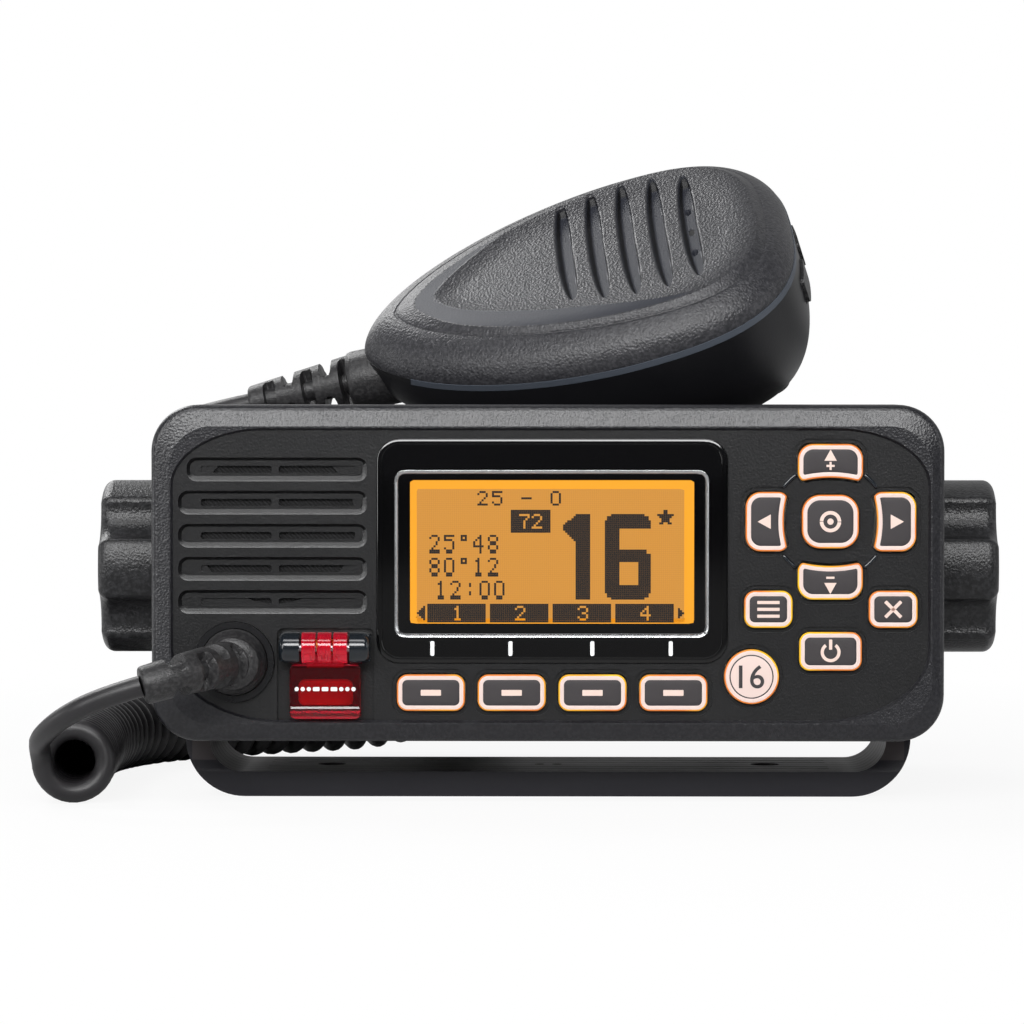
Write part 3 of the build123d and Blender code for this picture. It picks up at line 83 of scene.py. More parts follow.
# display: bright line, screen opening by its middle and half sizes, dots from the LCD's middle, printed ticks
LINE_SIZE, LINE_CORNER = (61.65, 32.7), 1.8
SCREEN_MIDDLE, SCREEN_HALF, SCREEN_CORNER = (0.9, 4.25), (28.0, 14.15), 0.5
WINDOW_CORNER, DOT_PITCH, DOT_START = 4.5, 0.412, (-26.6, -13.55)
TICK_PLACES, TICK_V, TICK_SIZE = (-22.7, -7.3, 8.84, 24.3), -14.8, (0.8, 2.9, 0.3)

# distress cover: the flap's planes and bevel, and the barrel's three knuckles along the pin
FLAP_FRONT, FLAP_BACK, FLAP_TOP, FLAP_BEVEL = -39.2, -37.6, -17.9, -26.0
KNUCKLES, KNUCKLE_RADIUS, KNUCKLE_ROUND = ((-4.5, -1.75), (-1.35, 1.35), (1.75, 4.5)), 3.1, 0.1
SPRING_TURNS, SPRING_WIRE, SPRING_MEAN_RADIUS = 5.5, 0.28, 1.4
CODE_V, CODE_DOTS, CODE_DASHES = -22.75, (-5.6, -4.4, -3.2, 3.2, 4.4, 5.6), (-1.75, 0.0, 1.75)

# the microphone's own frame: s from the cord end, t across, h out of the face
MIC_ORIGIN = np.array([-37.9, 12.66, 88.8])
MIC_LONG, MIC_FACE = np.array([0.9567, -0.0962, 0.2748]), np.array([-0.2824, -0.5360, 0.7956])
MIC_LENGTH, MIC_HALF_WIDTH, MIC_WIDEST, HALF_STRIP = 92.0, 32.8, 58.0, 0.7
CORD_ALONG, CORD_ACROSS, TOP_POWER, TOP_SWEEP = 1.8, 1.6, 2.7, 0.74      # exponents of the egg outline
GROOVES = ((45.8, -15.1, 22.2), (52.4, -17.8, 23.5), (59.0, -19.8, 23.6), (65.6, -20.2, 22.4),
           (72.2, -19.5, 20.2))
GROOVE_HALF, MIC_OPENINGS, OPENING_DEPTH = 1.85, (-8.0, 0.0, 8.0), 1.4
SHOULDER_WIDTH, SHOULDER_HEIGHT, FOOT_LINE_DEPTH = 13.0, 7.65, 0.14
PLATEAU_HEIGHT, PLATEAU_SKIRT, SEAM_INSET, DISH_DEPTH, DISH_WIDTH = 0.8, 3.4, 0.35, 0.7, 9.0
SLOPE_PLACES = (8.0, 14.0, 22.0, 35.0, 58.0, 88.0)
SLOPE_FAR, SLOPE_NEAR = (4.5, 4.3, 4.0, 3.4, 2.8, 1.5), (4.5, 3.8, 1.9, 1.2, 1.15, 1.5)
MIC_BOOT_START, MIC_BOOT_DIR, MIC_BOOT_LENGTH = np.array([-36.5, 15.3, 84.4]), (-0.973, 0.117, -0.202), 26.5

# the cord's route in metres: panel end, left side, behind the case, up, and back to the microphone
FRONT_RUN = (
    (-0.0782, -0.0582, 0.0249), (-0.0865, -0.0582, 0.0225), (-0.0945, -0.0540, 0.0182),
    (-0.0992, -0.0466, 0.0140), (-0.1002, -0.0398, 0.0116), (-0.0998, -0.0376, 0.0084),
)
COIL_RUN = (
    (-0.09365, -0.0376, 0.0084), (-0.0953, -0.0080, 0.00835), (-0.0960, 0.0180, 0.0083),
    (-0.0930, 0.0440, 0.00835), (-0.0820, 0.0680, 0.0083), (-0.0590, 0.0840, 0.0085),
    (-0.0340, 0.0885, 0.0095), (-0.0140, 0.0890, 0.0190), (-0.0100, 0.0890, 0.0360),
    (-0.0240, 0.0890, 0.0510), (-0.0440, 0.0890, 0.0590), (-0.0615, 0.0875, 0.0625),
    (-0.0730, 0.0805, 0.0650), (-0.0773, 0.0680, 0.0670),
)
MIC_RUN = (
    (-0.0802, 0.0604, 0.0683), (-0.0814, 0.0520, 0.0695), (-0.0820, 0.0428, 0.0710),
    (-0.0813, 0.0336, 0.0726), (-0.0782, 0.0250, 0.0748), (-0.0711, 0.0195, 0.0772),
    (-0.0623, 0.0184, 0.07905),
)
PANEL_BOOT_RUN = ((-0.0626, -0.0410, 0.0282), (-0.0665, -0.0505, 0.0278), (-0.0715, -0.0565, 0.0268),
                  (-0.0782, -0.0582, 0.0249))

# the camera: side of its square picture and focal length in pixels, its place, and the pixel level with it
PICTURE_SIDE, FOCAL_LENGTH, SENSOR_WIDTH = 1024.0, 4572.0, 36.0
CAMERA_PLACE, LEVEL_PIXEL = (0.004, -0.938, 0.084), (567.8, 379.6)
LAMPS = (   # name, place, target, size, power
    ("front_softbox", (-0.10, -1.06, 0.56), (0, 0, 0.05), (1.3, 0.30), 13.5),
    ("overhead", (-0.52, 0.56, 0.85), (0, 0, 0.09), (0.5, 0.34), 4.2),
    ("top", (-0.10, -0.57, 0.90), (0, 0, 0.06), (1.1, 0.22), 3.6),
    ("side", (-1.05, 0.06, 0.12), (0, 0, 0.05), (0.16, 0.4), 1.0),
    ("behind", (-0.55, 0.95, 0.50), (0, 0, 0.10), (0.7, 0.3), 1.6),
    ("left", (-0.86, -0.70, 0.26), (0, 0, 0.06), (0.30, 0.5), 2.4),
    ("right", (1.0, -0.35, 0.35), (0, 0, 0.06), (0.35, 0.6), 1.2),
)


# ------------------------------------------------------------------ properties
def span(name, text, value):
    """A length setting, in metres."""
    return FloatProperty(name=name, description=text, default=value, unit="LENGTH")


def hue(name, text, *value):
    """A colour setting, as linear values."""
    return FloatVectorProperty(name=name, description=text, size=3, subtype="COLOR", default=value)


class MarineRadioSizes(bpy.types.PropertyGroup):
    """Sizes of the detailed pieces."""
    key_rim: span("Key rim", "Width of a key's pale rim", 0.0011)
    key_glow: span("Key glow", "Width of the lit line outside a key's rim", 0.0003)
    icon_relief: span("Icon relief", "How far the printed icons stand up", 0.00004)
    bezel_line: span("Bezel line", "Width of the bright line round the screen", 0.0006)
    lcd_columns: IntProperty(name="Display columns", description="Dots across the display", default=128)
    lcd_rows: IntProperty(name="Display rows", description="Dots down the display", default=64)
    cable: span("Cable diameter", "Diameter of the microphone cable", 0.0042)
    coil: span("Coil diameter", "Outer diameter of the curly part", 0.0165)
    groove_depth: span("Groove depth", "Depth of the microphone's grooves", 0.0016)
    grain: span("Plastic grain", "Size of one grain of the moulded texture", 0.00035)


class MarineRadioColours(bpy.types.PropertyGroup):
    """Colours of the finishes, as linear values."""
    panel: hue("Panel", "Textured band round the panel", 0.008, 0.008, 0.0105)
    field: hue("Control field", "Sunk field of the panel", 0.0025, 0.0025, 0.003)
    case: hue("Case", "Case, knobs and bracket", 0.006, 0.006, 0.007)
    microphone: hue("Microphone", "Microphone shells", 0.015, 0.015, 0.0185)
    seal: hue("Seal strip", "Strip between the microphone's shells", 0.070, 0.080, 0.100)
    cable: hue("Cable", "Cord jacket and boots", 0.014, 0.013, 0.015)
    lcd: hue("Display", "Lit display ground", 0.62, 0.27, 0.032)
    lcd_border: hue("Display border", "Brighter edge of the display", 0.93, 0.37, 0.006)
    rim: hue("Key rim", "Pale translucent key rim", 0.56, 0.46, 0.43)
    glow: hue("Key glow", "Light at the edge of a key", 0.80, 0.22, 0.03)
    key: hue("Key centre", "Dark printed centre of a key", 0.030, 0.025, 0.027)
    cover: hue("Distress cover", "Clear red cover", 0.72, 0.005, 0.03)


class MarineRadioSettings(bpy.types.PropertyGroup):
    """All settings of the radio's dress."""
    sizes: PointerProperty(type=MarineRadioSizes)
    colours: PointerProperty(type=MarineRadioColours)


def sizes():
    """The scene's sizes in millimetres, by name; counts stay as they are."""
    group = bpy.context.scene.marine_radio.sizes
    counts = ("lcd_columns", "lcd_rows")
    return {name: getattr(group, name) / (1 if name in counts else MM) for name in group.__annotations__}


def colour(tone):
    """An opaque colour: a setting's by its name, or three given values."""
    if isinstance(tone, str):
        tone = getattr(bpy.context.scene.marine_radio.colours, tone)
    return (*tone, 1.0)


# ------------------------------------------------------------------ shader wiring
class Wire:
    """A node's output that turns arithmetic into Math nodes."""

    def __init__(self, finish, socket):
        self.finish, self.socket = finish, socket

    def math(self, operation, *others):
        return self.finish.node("ShaderNodeMath", {"operation": operation}, dict(enumerate((self,) + others)))

    def __add__(self, other): return self.math("ADD", other)
    def __radd__(self, other): return self.math("ADD", other)
    def __sub__(self, other): return self.math("SUBTRACT", other)
    def __rsub__(self, other): return (self * -1.0).math("ADD", other)
    def __mul__(self, other): return self.math("MULTIPLY", other)
    def __rmul__(self, other): return self.math("MULTIPLY", other)
    def __truediv__(self, other): return self.math("DIVIDE", other)
    def __pow__(self, other): return self.math("POWER", other)
    def __abs__(self): return self.math("ABSOLUTE")
    def above(self, other): return self.math("GREATER_THAN", other)
    def at_least(self, other): return self.math("MAXIMUM", other)
    def clamped(self): return self.math("MINIMUM", 1.0).math("MAXIMUM", 0.0)


class Finish:
    """Shader nodes under construction, of a material on Object coordinates in metres or of the world."""

    def __init__(self, name, world=False):
        self.owner = (bpy.data.worlds if world else bpy.data.materials).new(name)
        self.owner.use_nodes = True
        self.tree = self.owner.node_tree
        self.tree.nodes.clear()
        self.at = self.node("ShaderNodeTexCoord", {}, {}, "Generated" if world else "Object")

    def node(self, kind, settings, sockets, output=0):
        """Adds a node: settings first, then values or links of its sockets; returns one output."""
        made = self.tree.nodes.new(kind)
        for name, value in settings.items():
            setattr(made, name, value)
        for name, value in sockets.items():
            if isinstance(value, Wire):
                self.tree.links.new(value.socket, made.inputs[name])
            else:
                made.inputs[name].default_value = value
        if not made.outputs:
            return None
        return Wire(self, made.outputs[output])

    def axes(self):
        split = self.node("ShaderNodeSeparateXYZ", {}, {"Vector": self.at})
        outputs = split.socket.node.outputs
        return [Wire(self, outputs[i]) for i in range(3)]

    def noise(self, size, detail=2.0, rough=0.5, stretch=None):
        """Soft noise from 0 to 1 whose grains are about the given size in metres."""
        at = self.at
        if stretch:
            at = self.node("ShaderNodeMapping", {}, {"Vector": at, "Scale": stretch})
        return self.node("ShaderNodeTexNoise", {}, {
            "Vector": at, "Scale": 0.55 / size, "Detail": detail, "Roughness": rough})

    def pits(self, size):
        """Distance to the nearest cell centre, for a pebbled mould texture."""
        return self.node("ShaderNodeTexVoronoi", {"feature": "SMOOTH_F1"}, {
            "Vector": self.at, "Scale": 1.0 / size, "Smoothness": 0.6})

    def mix(self, share, first, second):
        """Colour between two colours; a colour is a wire, a setting's name or three values."""
        first, second = (tone if isinstance(tone, Wire) else colour(tone) for tone in (first, second))
        return self.node("ShaderNodeMix", {"data_type": "RGBA"}, {0: share, 6: first, 7: second}, 2)

    def glints(self, size, start):
        """Bright specks from 0 to 1 where a fine noise passes a start value."""
        return (self.noise(size, 1.0) * 4.0 - start).clamped()

    def ray(self, kind):
        """1 for rays of that kind, such as Camera, and 0 for others."""
        return self.node("ShaderNodeLightPath", {}, {}, f"Is {kind} Ray")

    def bump(self, height, depth, strength=1.0, before=None):
        sockets = {"Height": height, "Distance": depth, "Strength": strength}
        if before:
            sockets["Normal"] = before
        return self.node("ShaderNodeBump", {}, sockets)

    def close(self, **sockets):
        """Principled surface with its sockets given as words joined by underscores."""
        sockets = {name.replace("_", " "): value for name, value in sockets.items()}
        shader = self.node("ShaderNodeBsdfPrincipled", {}, sockets)
        self.node("ShaderNodeOutputMaterial", {}, {"Surface": shader})
        return self.owner


def plain(f, tones, patches, amount=1.0, rough=0.5, swing=0.0, swing_patches=None, fine=None, pits=None,
          relief=None, glint=None, light=0.0, dim=0.0, **sockets):
    """A finish of two tones in soft patches.

    patches is a noise, as size, detail, roughness and stretch, or a ready share; amount scales it.
    swing is how much the roughness follows the patches or its own noise. relief is the depth and strength of
    a bump, whose height is pits with a finer noise (two sizes and its share), a fine noise or the patches.
    glint is the size of bright specks and their colour. light is the strength of the tone's own light, and
    dim is how far the reflected tone is darkened.
    """
    mottle = patches if isinstance(patches, Wire) else f.noise(*patches)
    tone = f.mix(mottle if amount == 1.0 else mottle * amount, *tones)
    if glint:
        tone = f.mix(f.glints(glint[0], 1.7) * 0.5, tone, glint[1])
    if swing:
        rough = rough + (f.noise(*swing_patches) if swing_patches else mottle) * swing
    if light:
        sockets.update(Emission_Color=tone, Emission_Strength=light)
    if dim:
        tone = f.mix(dim, tone, (0.0, 0.0, 0.0))
    if relief:
        height = f.noise(*fine) if fine else mottle
        if pits:
            height = f.pits(pits[0]) + f.noise(pits[1], 1.0) * pits[2]
        sockets["Normal"] = f.bump(height, *relief)
    return f.close(Base_Color=tone, Roughness=rough, **sockets)


def panel_plastic(f):
    """Pebbled moulded band, and a finer, darker field inside an outline with elliptical corners."""
    x, _, z = f.axes()
    middle = (Vector(CAD_PANEL[0]) + Vector(CAD_PANEL[1])) / 2
    half_x, half_z = FIELD_HALF[0] * MM, FIELD_HALF[1] * MM
    centre_x, centre_z = middle.x + FIELD_SHIFT[0] * MM, middle.z + FIELD_SHIFT[1] * MM
    upper = (z - centre_z).above(0.0)
    round_x, round_z = ((low - less * upper) * MM for low, less in zip(FIELD_CORNER, FIELD_CORNER_LESS))
    over_x = (abs(x - centre_x) - (half_x - round_x)).at_least(0.0) / round_x
    over_z = (abs(z - centre_z) - (half_z - round_z)).at_least(0.0) / round_z
    inside = 1.0 - (over_x * over_x + over_z * over_z).above(1.0)
    grain = sizes()["grain"] * MM
    mottle = f.noise(grain * 14, 3.0)
    height = f.pits(grain * 1.3) * (1.0 - inside * 0.65) + f.noise(grain * 0.7, 1.0) * 0.3
    tone = f.mix(inside, "panel", "field")
    tone = f.mix(mottle * 0.2, tone, (0.007, 0.007, 0.008))
    tone = f.mix(f.glints(grain, 1.6) * (1.0 - inside * 0.8) * 0.22, tone, (0.042, 0.042, 0.047))
    return f.close(Base_Color=tone, Roughness=0.30 + mottle * 0.05 + inside * 0.01,
                   Specular_IOR_Level=0.62, Normal=f.bump(height, 0.00009, 0.62))


def case_plastic(f):
    """Black plastic with a fine even mould texture."""
    grain = sizes()["grain"] * MM
    return plain(f, ("case", (0.020, 0.020, 0.022)), (grain * 20, 3.0), 0.5, rough=0.42, swing=0.12,
                 pits=(grain, grain * 0.6, 0.4), relief=(0.00007, 0.6))


def bracket_plastic(f):
    """Satin bracket: blue-black outside; ribbed along its inner faces, which are lighter and warmer by
    painted light.
    """
    x, y, z = f.axes()
    inner = (0.0179 - abs(y)).above(0.0) * (0.0718 - abs(x)).above(0.0) * z.above(0.0008)
    ribs = (y * (2.0 * pi / 0.005)).math("COSINE") * 0.5 + 0.5
    mottle = f.noise(0.012, 3.0)
    # painted light: the inner faces get a much lighter, warmer tone than the blue-black outside
    tone = f.mix(inner, (0.004, 0.0035, 0.008), (0.040, 0.032, 0.033))
    tone = f.mix(mottle * 0.2, tone, (0.009, 0.008, 0.013))
    normal = f.bump(f.noise(0.0003, 2.0), 0.00003, 0.4, f.bump((ribs ** 6.0) * inner, 0.0002, 0.6))
    return f.close(Base_Color=tone, Roughness=0.36 + mottle * 0.10, Normal=normal)


def microphone_plastic(f):
    """Satin pebbled shell, smoother and bluer as its attribute's value nears 1, and black from 1 to 2, where
    the value is painted shade on the grooves' walls.
    """
    polish_and_shade = f.node("ShaderNodeAttribute", {"attribute_name": "polish_and_shade"}, {}, "Fac")
    smooth, mottle = polish_and_shade.clamped(), f.noise(0.010, 3.0)
    height = (f.pits(0.00050) + f.noise(0.00024, 1.0) * 0.5) * (1.0 - smooth * 0.85)
    tone = f.mix(mottle, "microphone", (0.022, 0.022, 0.025))
    tone = f.mix(f.glints(0.00042, 1.6) * (1.0 - smooth) * 0.28, tone, (0.085, 0.085, 0.092))
    tone = f.mix(smooth, tone, (0.017, 0.019, 0.027))
    # painted shade: values above 1, on the grooves' walls, darken the tone to near black
    tone = f.mix((polish_and_shade - 1.0).clamped(), tone, (0.003, 0.003, 0.004))
    return f.close(Base_Color=tone, Roughness=0.36 + mottle * 0.05 + polish_and_shade * 0.06,
                   Normal=f.bump(height, 0.00012, 0.8))


def seal_rubber(f):
    """Blue-grey rubber strip, black where it goes round the cord's end."""
    x, _, _ = f.axes()
    mottle = f.noise(0.004, 3.0)
    tone = f.mix(mottle * 0.5, "seal", (0.045, 0.058, 0.075))
    tone = f.mix(x.above(-0.0282), (0.006, 0.006, 0.007), tone)
    return f.close(Base_Color=tone, Roughness=0.42 + mottle * 0.1,
                   Normal=f.bump(f.noise(0.0002), 0.00002, 0.4))


def lcd_ground(f):
    """Evenly lit amber, with fine darker lines between the display's dots."""
    x, _, z = f.axes()
    left, low = (place * MM for place in lcd_corner())
    across, up = ((axis / (DOT_PITCH * MM)).math("FRACT").above(0.10) for axis in (x - left, z - low))
    return plain(f, ((0.50, 0.20, 0.025), "lcd"), across * up * 0.8 + f.noise(0.03, 2.0) * 0.2, **LIT_SCREEN)


def key_glow(f):
    """Light that leaks round the edge of a key, from orange to yellow."""
    patches = (f.noise(0.008, 1.0) * 6.0 - 2.9).clamped()
    return plain(f, ("glow", (1.0, 0.55, 0.01)), patches, rough=0.5, light=0.75, dim=0.7)


def nickel(f):
    """Nickel plate with turned thread lines."""
    thread = (f.axes()[1] * (2 * pi / 0.00106)).math("SINE")
    return plain(f, ((0.62, 0.60, 0.55), (0.52, 0.50, 0.46)), (0.002,), rough=0.22, swing=0.12,
                 swing_patches=(0.001,), Metallic=1.0, Normal=f.bump(thread, 0.0002, 0.8))


def circuit_board(f):
    """Green solder mask with traces."""
    traces = f.noise(0.0015, 2.0).above(0.52)
    return plain(f, ((0.008, 0.060, 0.028), (0.015, 0.11, 0.05)), traces, rough=0.35)


def grille_cloth(f):
    """Black twill cloth behind the grille."""
    x, _, z = f.axes()
    twill = ((x + z) * (2 * pi / 0.0009)).math("SINE") * 0.5 + 0.5
    return plain(f, ((0.002, 0.002, 0.002), (0.010, 0.010, 0.011)), twill, rough=0.9, relief=(0.0001, 0.8))


LIT_SCREEN =dict(rough=0.35, light=0.86, dim=0.8, Coat_Weight=0.3, Coat_Roughness=0.04)
LOOKS = {
    "panel_plastic": panel_plastic, "case_plastic": case_plastic, "bracket_plastic": bracket_plastic,
    "microphone_plastic": microphone_plastic, "seal_rubber": seal_rubber, "lcd_ground": lcd_ground,
    "key_glow": key_glow, "nickel": nickel, "circuit_board": circuit_board, "grille_cloth": grille_cloth,
    # the knobs' coarser, slightly shinier plastic, and the smoother back of the microphone
    "knob_plastic": dict(
        tones=("case", (0.012, 0.012, 0.013)), patches=(0.006, 3.0), rough=0.32, swing=0.08,
        pits=(0.00045, 0.0002, 0.3), relief=(0.00009, 0.7), glint=(0.0005, (0.040, 0.040, 0.043))),
    "microphone_back": dict(
        tones=((0.004, 0.004, 0.005), (0.008, 0.008, 0.010)), patches=(0.012, 3.0), rough=0.34, swing=0.1,
        fine=(0.0003, 2.0), relief=(0.00003, 0.5)),
    # cord jacket, and the moulded rubber of the strain reliefs and sprung keys
    "cable_rubber": dict(
        tones=("cable", (0.018, 0.017, 0.018)), patches=(0.005, 4.0, 0.6), rough=0.34, swing=0.12,
        fine=(0.0004, 3.0), relief=(0.00004, 0.4)),
    "boot_rubber": dict(
        tones=((0.010, 0.010, 0.011), (0.018, 0.017, 0.018)), patches=(0.004, 3.0), rough=0.36, swing=0.10,
        pits=(0.00035, 0.00018, 0.5), relief=(0.00006, 0.7), glint=(0.0004, (0.050, 0.049, 0.050))),
    # polished window, glossy blue-black hinge lugs, semi-gloss ring round the cord socket
    "gloss_black": dict(
        tones=((0.0010, 0.0010, 0.0012), (0.002, 0.002, 0.0024)), patches=(0.02, 2.0), amount=0.3, rough=0.06,
        swing=0.04, swing_patches=(0.01,), Coat_Weight=0.5, Coat_Roughness=0.03),
    "lug_gloss": dict(
        tones=((0.007, 0.010, 0.014), (0.004, 0.006, 0.008)), patches=(0.004,), amount=0.5, rough=0.14,
        swing=0.08, swing_patches=(0.001,), Coat_Weight=0.6, Coat_Roughness=0.05),
    "socket_plastic": dict(
        tones=((0.004, 0.004, 0.005), (0.008, 0.008, 0.009)), patches=(0.003,), amount=0.5, rough=0.24,
        swing=0.1, swing_patches=(0.002,), fine=(0.0003,), relief=(0.00002, 0.3)),
    # bright brushed line and white print on the window, brighter edge and switched-on dots of the display
    "bezel_silver": dict(
        tones=((0.55, 0.56, 0.58), (0.78, 0.79, 0.80)), patches=(0.0006, 2.0, 0.5, (1.0, 1.0, 0.2)),
        rough=0.20, swing=0.10, Metallic=1.0),
    # painted light: the white print glows faintly though it has no lamp
    "print_white": dict(
        tones=((0.80, 0.81, 0.82), (0.66, 0.67, 0.69)), patches=(0.0008,), amount=0.3, rough=0.45,
        light=0.05),
    "lcd_border": dict(
        tones=("lcd_border", (0.80, 0.28, 0.004)), patches=(0.02, 2.0), amount=0.3, **LIT_SCREEN),
    "lcd_dark": dict(
        tones=((0.004, 0.002, 0.001), (0.002, 0.001, 0.0005)), patches=(0.003,), amount=0.5, rough=0.8),
    # keys: pale rubber lit from behind, dark matt centre, lit icon
    "key_rim": dict(
        tones=("rim", (0.54, 0.38, 0.32)), patches=(0.006, 2.0), amount=0.5, rough=0.42, light=0.30,
        fine=(0.0002,), relief=(0.00002, 0.4)),
    "key_dark": dict(
        tones=("key", (0.022, 0.019, 0.021)), patches=(0.0015,), amount=0.5, rough=0.55, fine=(0.00025, 2.0),
        relief=(0.00003, 0.5)),
    "key_icon": dict(
        tones=((0.60, 0.47, 0.42), (0.60, 0.42, 0.35)), patches=(0.002,), amount=0.4, rough=0.5, light=0.25),
    # the cover's see-through red, a brighter red with a painted glow for the barrel and the flap's edges, and
    # the orange-red key under it
    "clear_red": dict(
        tones=("cover", (0.45, 0.0, 0.01)), patches=(0.01,), amount=0.3, rough=0.04, Transmission_Weight=0.97,
        IOR=1.45, Coat_Weight=0.4, Coat_Roughness=0.03),
    # painted light: this red glows though it has no lamp, a painted highlight on the barrel and the flap's
    # edges
    "red_with_painted_glow": dict(
        tones=((0.70, 0.008, 0.035), (0.48, 0.0, 0.02)), patches=(0.003,), amount=0.5, rough=0.06, light=0.12,
        Transmission_Weight=0.7, IOR=1.45, Coat_Weight=0.6, Coat_Roughness=0.03),
    "distress_rubber": dict(
        tones=((0.80, 0.07, 0.01), (0.68, 0.05, 0.01)), patches=(0.002,), rough=0.45, light=0.15,
        fine=(0.0003,), relief=(0.00003, 0.5)),
    # metals: yellow-passivated spring wire, machined steel and brass, black-coated die casting
    "spring_gold": dict(
        tones=((0.95, 0.55, 0.10), (0.80, 0.38, 0.06)), patches=(0.0006,), rough=0.25, swing=0.1,
        swing_patches=(0.0004,), Metallic=0.8),
    "steel": dict(
        tones=((0.42, 0.42, 0.44), (0.58, 0.58, 0.60)), patches=(0.0005, 3.0, 0.6, (1.0, 0.15, 1.0)),
        rough=0.26, swing=0.16, Metallic=1.0),
    "brass": dict(
        tones=((0.70, 0.50, 0.18), (0.58, 0.40, 0.14)), patches=(0.001,), rough=0.28, swing=0.1,
        Metallic=1.0),
    "cast_aluminium": dict(
        tones=((0.014, 0.014, 0.015), (0.028, 0.028, 0.030)), patches=(0.0004, 3.0, 0.6), rough=0.42,
        swing=0.15, relief=(0.00008, 0.6), Metallic=0.25),
    # white fluoropolymer, milky silicone, treated speaker paper
    "insulator": dict(
        tones=((0.80, 0.80, 0.77), (0.70, 0.69, 0.65)), patches=(0.002,), amount=0.4, rough=0.35),
    "silicone": dict(tones=((0.62, 0.60, 0.56), (0.52, 0.50, 0.47)), patches=(0.003,), rough=0.5),
    "black_paper": dict(
        tones=((0.010, 0.010, 0.010), (0.024, 0.024, 0.024)), patches=(0.001, 4.0), rough=0.8),
}
FINISHES = {}


def finish(name):
    """The finish of that name, made on first use."""
    if name not in FINISHES:
        look = LOOKS[name]
        FINISHES[name] = look(Finish(name)) if callable(look) else plain(Finish(name), **look)
    return FINISHES[name]


# ------------------------------------------------------------------ surfaces
def piece(name, points, faces, body, finishes, indices=None, sharp=35.0, close=True, polish_and_shade=None):
    """A mesh from points in millimetres and faces, riding on a body. Closed shapes get outward normals.

    The last argument is an optional value per point, which the finish reads: 0 is grained, 1 is smooth, and
    from 1 to 2 is painted shade that makes the surface near black.
    """
    mesh = bpy.data.meshes.new(name)
    mesh.from_pydata((np.asarray(points, float) * MM).tolist(), [], faces)
    for finish_name in finishes:
        mesh.materials.append(finish(finish_name))
    if indices is not None:
        mesh.polygons.foreach_set("material_index", np.asarray(indices, np.int32))
    if polish_and_shade is not None:
        values = mesh.attributes.new("polish_and_shade", "FLOAT", "POINT").data
        values.foreach_set("value", polish_and_shade.astype(np.float32).ravel())
    if close:
        form = bmesh.new()
        form.from_mesh(mesh)
        bmesh.ops.remove_doubles(form, verts=form.verts, dist=2e-7)
        bmesh.ops.recalc_face_normals(form, faces=form.faces)
        form.to_mesh(mesh)
        form.free()
    mesh.polygons.foreach_set("use_smooth", np.ones(len(mesh.polygons), bool))
    mesh.set_sharp_from_angle(angle=radians(sharp))
    mesh.update()
    made = bpy.data.objects.new(name, mesh)
    bpy.context.scene.collection.objects.link(made)
    if body:
        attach(made, body)
    return made


def stack(name, rings, body, finishes, bands=None, caps=(True, True), sharp=35.0, loop=False, polish_and_shade=None):
    """Joins rings of equal count, one after the other, with quads; the end rings may be capped.

    bands gives the finish number of each strip between two rings; the caps take the end strips' finishes.
    """
    rings = np.asarray(rings, float)
    count, around = rings.shape[:2]
    strips = count if loop else count - 1
    row, column = np.meshgrid(np.arange(strips), np.arange(around), indexing="ij")
    beside, above = (column + 1) % around, (row + 1) % count
    quads = np.stack([row * around + column, row * around + beside, above * around + beside,
                      above * around + column], -1).reshape(-1, 4)
    faces, bands = quads.tolist(), list(bands or [0] * strips)
    indices = np.repeat(bands, around).tolist()
    if caps[0] and not loop:
        faces.append(list(range(around))[::-1])
        indices.append(bands[0])
    if caps[1] and not loop:
        faces.append(list(range((count - 1) * around, count * around)))
        indices.append(bands[-1])
    return piece(name, rings.reshape(-1, 3), faces, body, finishes, indices, sharp, polish_and_shade=polish_and_shade)


def on_panel(outline_uv, y, centre=(0.0, 0.0)):
    """Panel points (u, v) around a centre, at a depth, as x, y, z."""
    u, v = outline_uv[..., 0] + centre[0], outline_uv[..., 1] + centre[1]
    return np.stack([u, np.broadcast_to(y, u.shape), v + PIVOT_Z], -1)


def box_distance(u, v, half_u, half_v, corner):
    """Signed distance to a rounded box: outside part of (|p| - half + corner) less the corner."""
    qu, qv = np.abs(u) - half_u + corner, np.abs(v) - half_v + corner
    return np.hypot(np.maximum(qu, 0), np.maximum(qv, 0)) + np.minimum(np.maximum(qu, qv), 0) - corner


def halved(inside, low, high, steps):
    """How far a test still holds between two bounds per element, found by halving."""
    for _ in range(steps):
        middle = (low + high) / 2
        holds = inside(middle)
        low, high = np.where(holds, middle, low), np.where(holds, high, middle)
    return low


def outline(distance, inset=0.0, around=128):
    """Where rays from the middle meet the line on which the signed distance is minus the inset."""
    angle = np.linspace(0, 2 * pi, around, endpoint=False) + 1e-4
    ray = np.stack([np.cos(angle), np.sin(angle)], -1)
    reach = halved(lambda length: distance(*(ray * length[:, None]).T) < -inset,
                   np.zeros(around), np.full(around, 90.0), 34)
    return ray * reach[:, None]


def panel_rings(distance, steps, centre, around):
    """Rings of an outline on the panel, one for each inset and y."""
    return [on_panel(outline(distance, inset, around), y, centre) for inset, y in steps]


def rise(x, start, end):
    """Smooth step: 3 q^2 - 2 q^3 with q from 0 to 1 between start and end."""
    q = np.clip((x - start) / (end - start), 0, 1)
    return q * q * (3 - 2 * q)


def box_mm(node):
    """Lower and upper corner of a CAD node's box in millimetres."""
    return [np.array(corner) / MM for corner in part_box(node)]


def cad_place(node):
    """Middle and size of a CAD node seen from the front: u, v, width, height, and its front y."""
    low, high = box_mm(node)
    middle, size = (low + high) / 2, high - low
    return middle[0], middle[2] - PIVOT_Z, size[0], size[2], low[1]


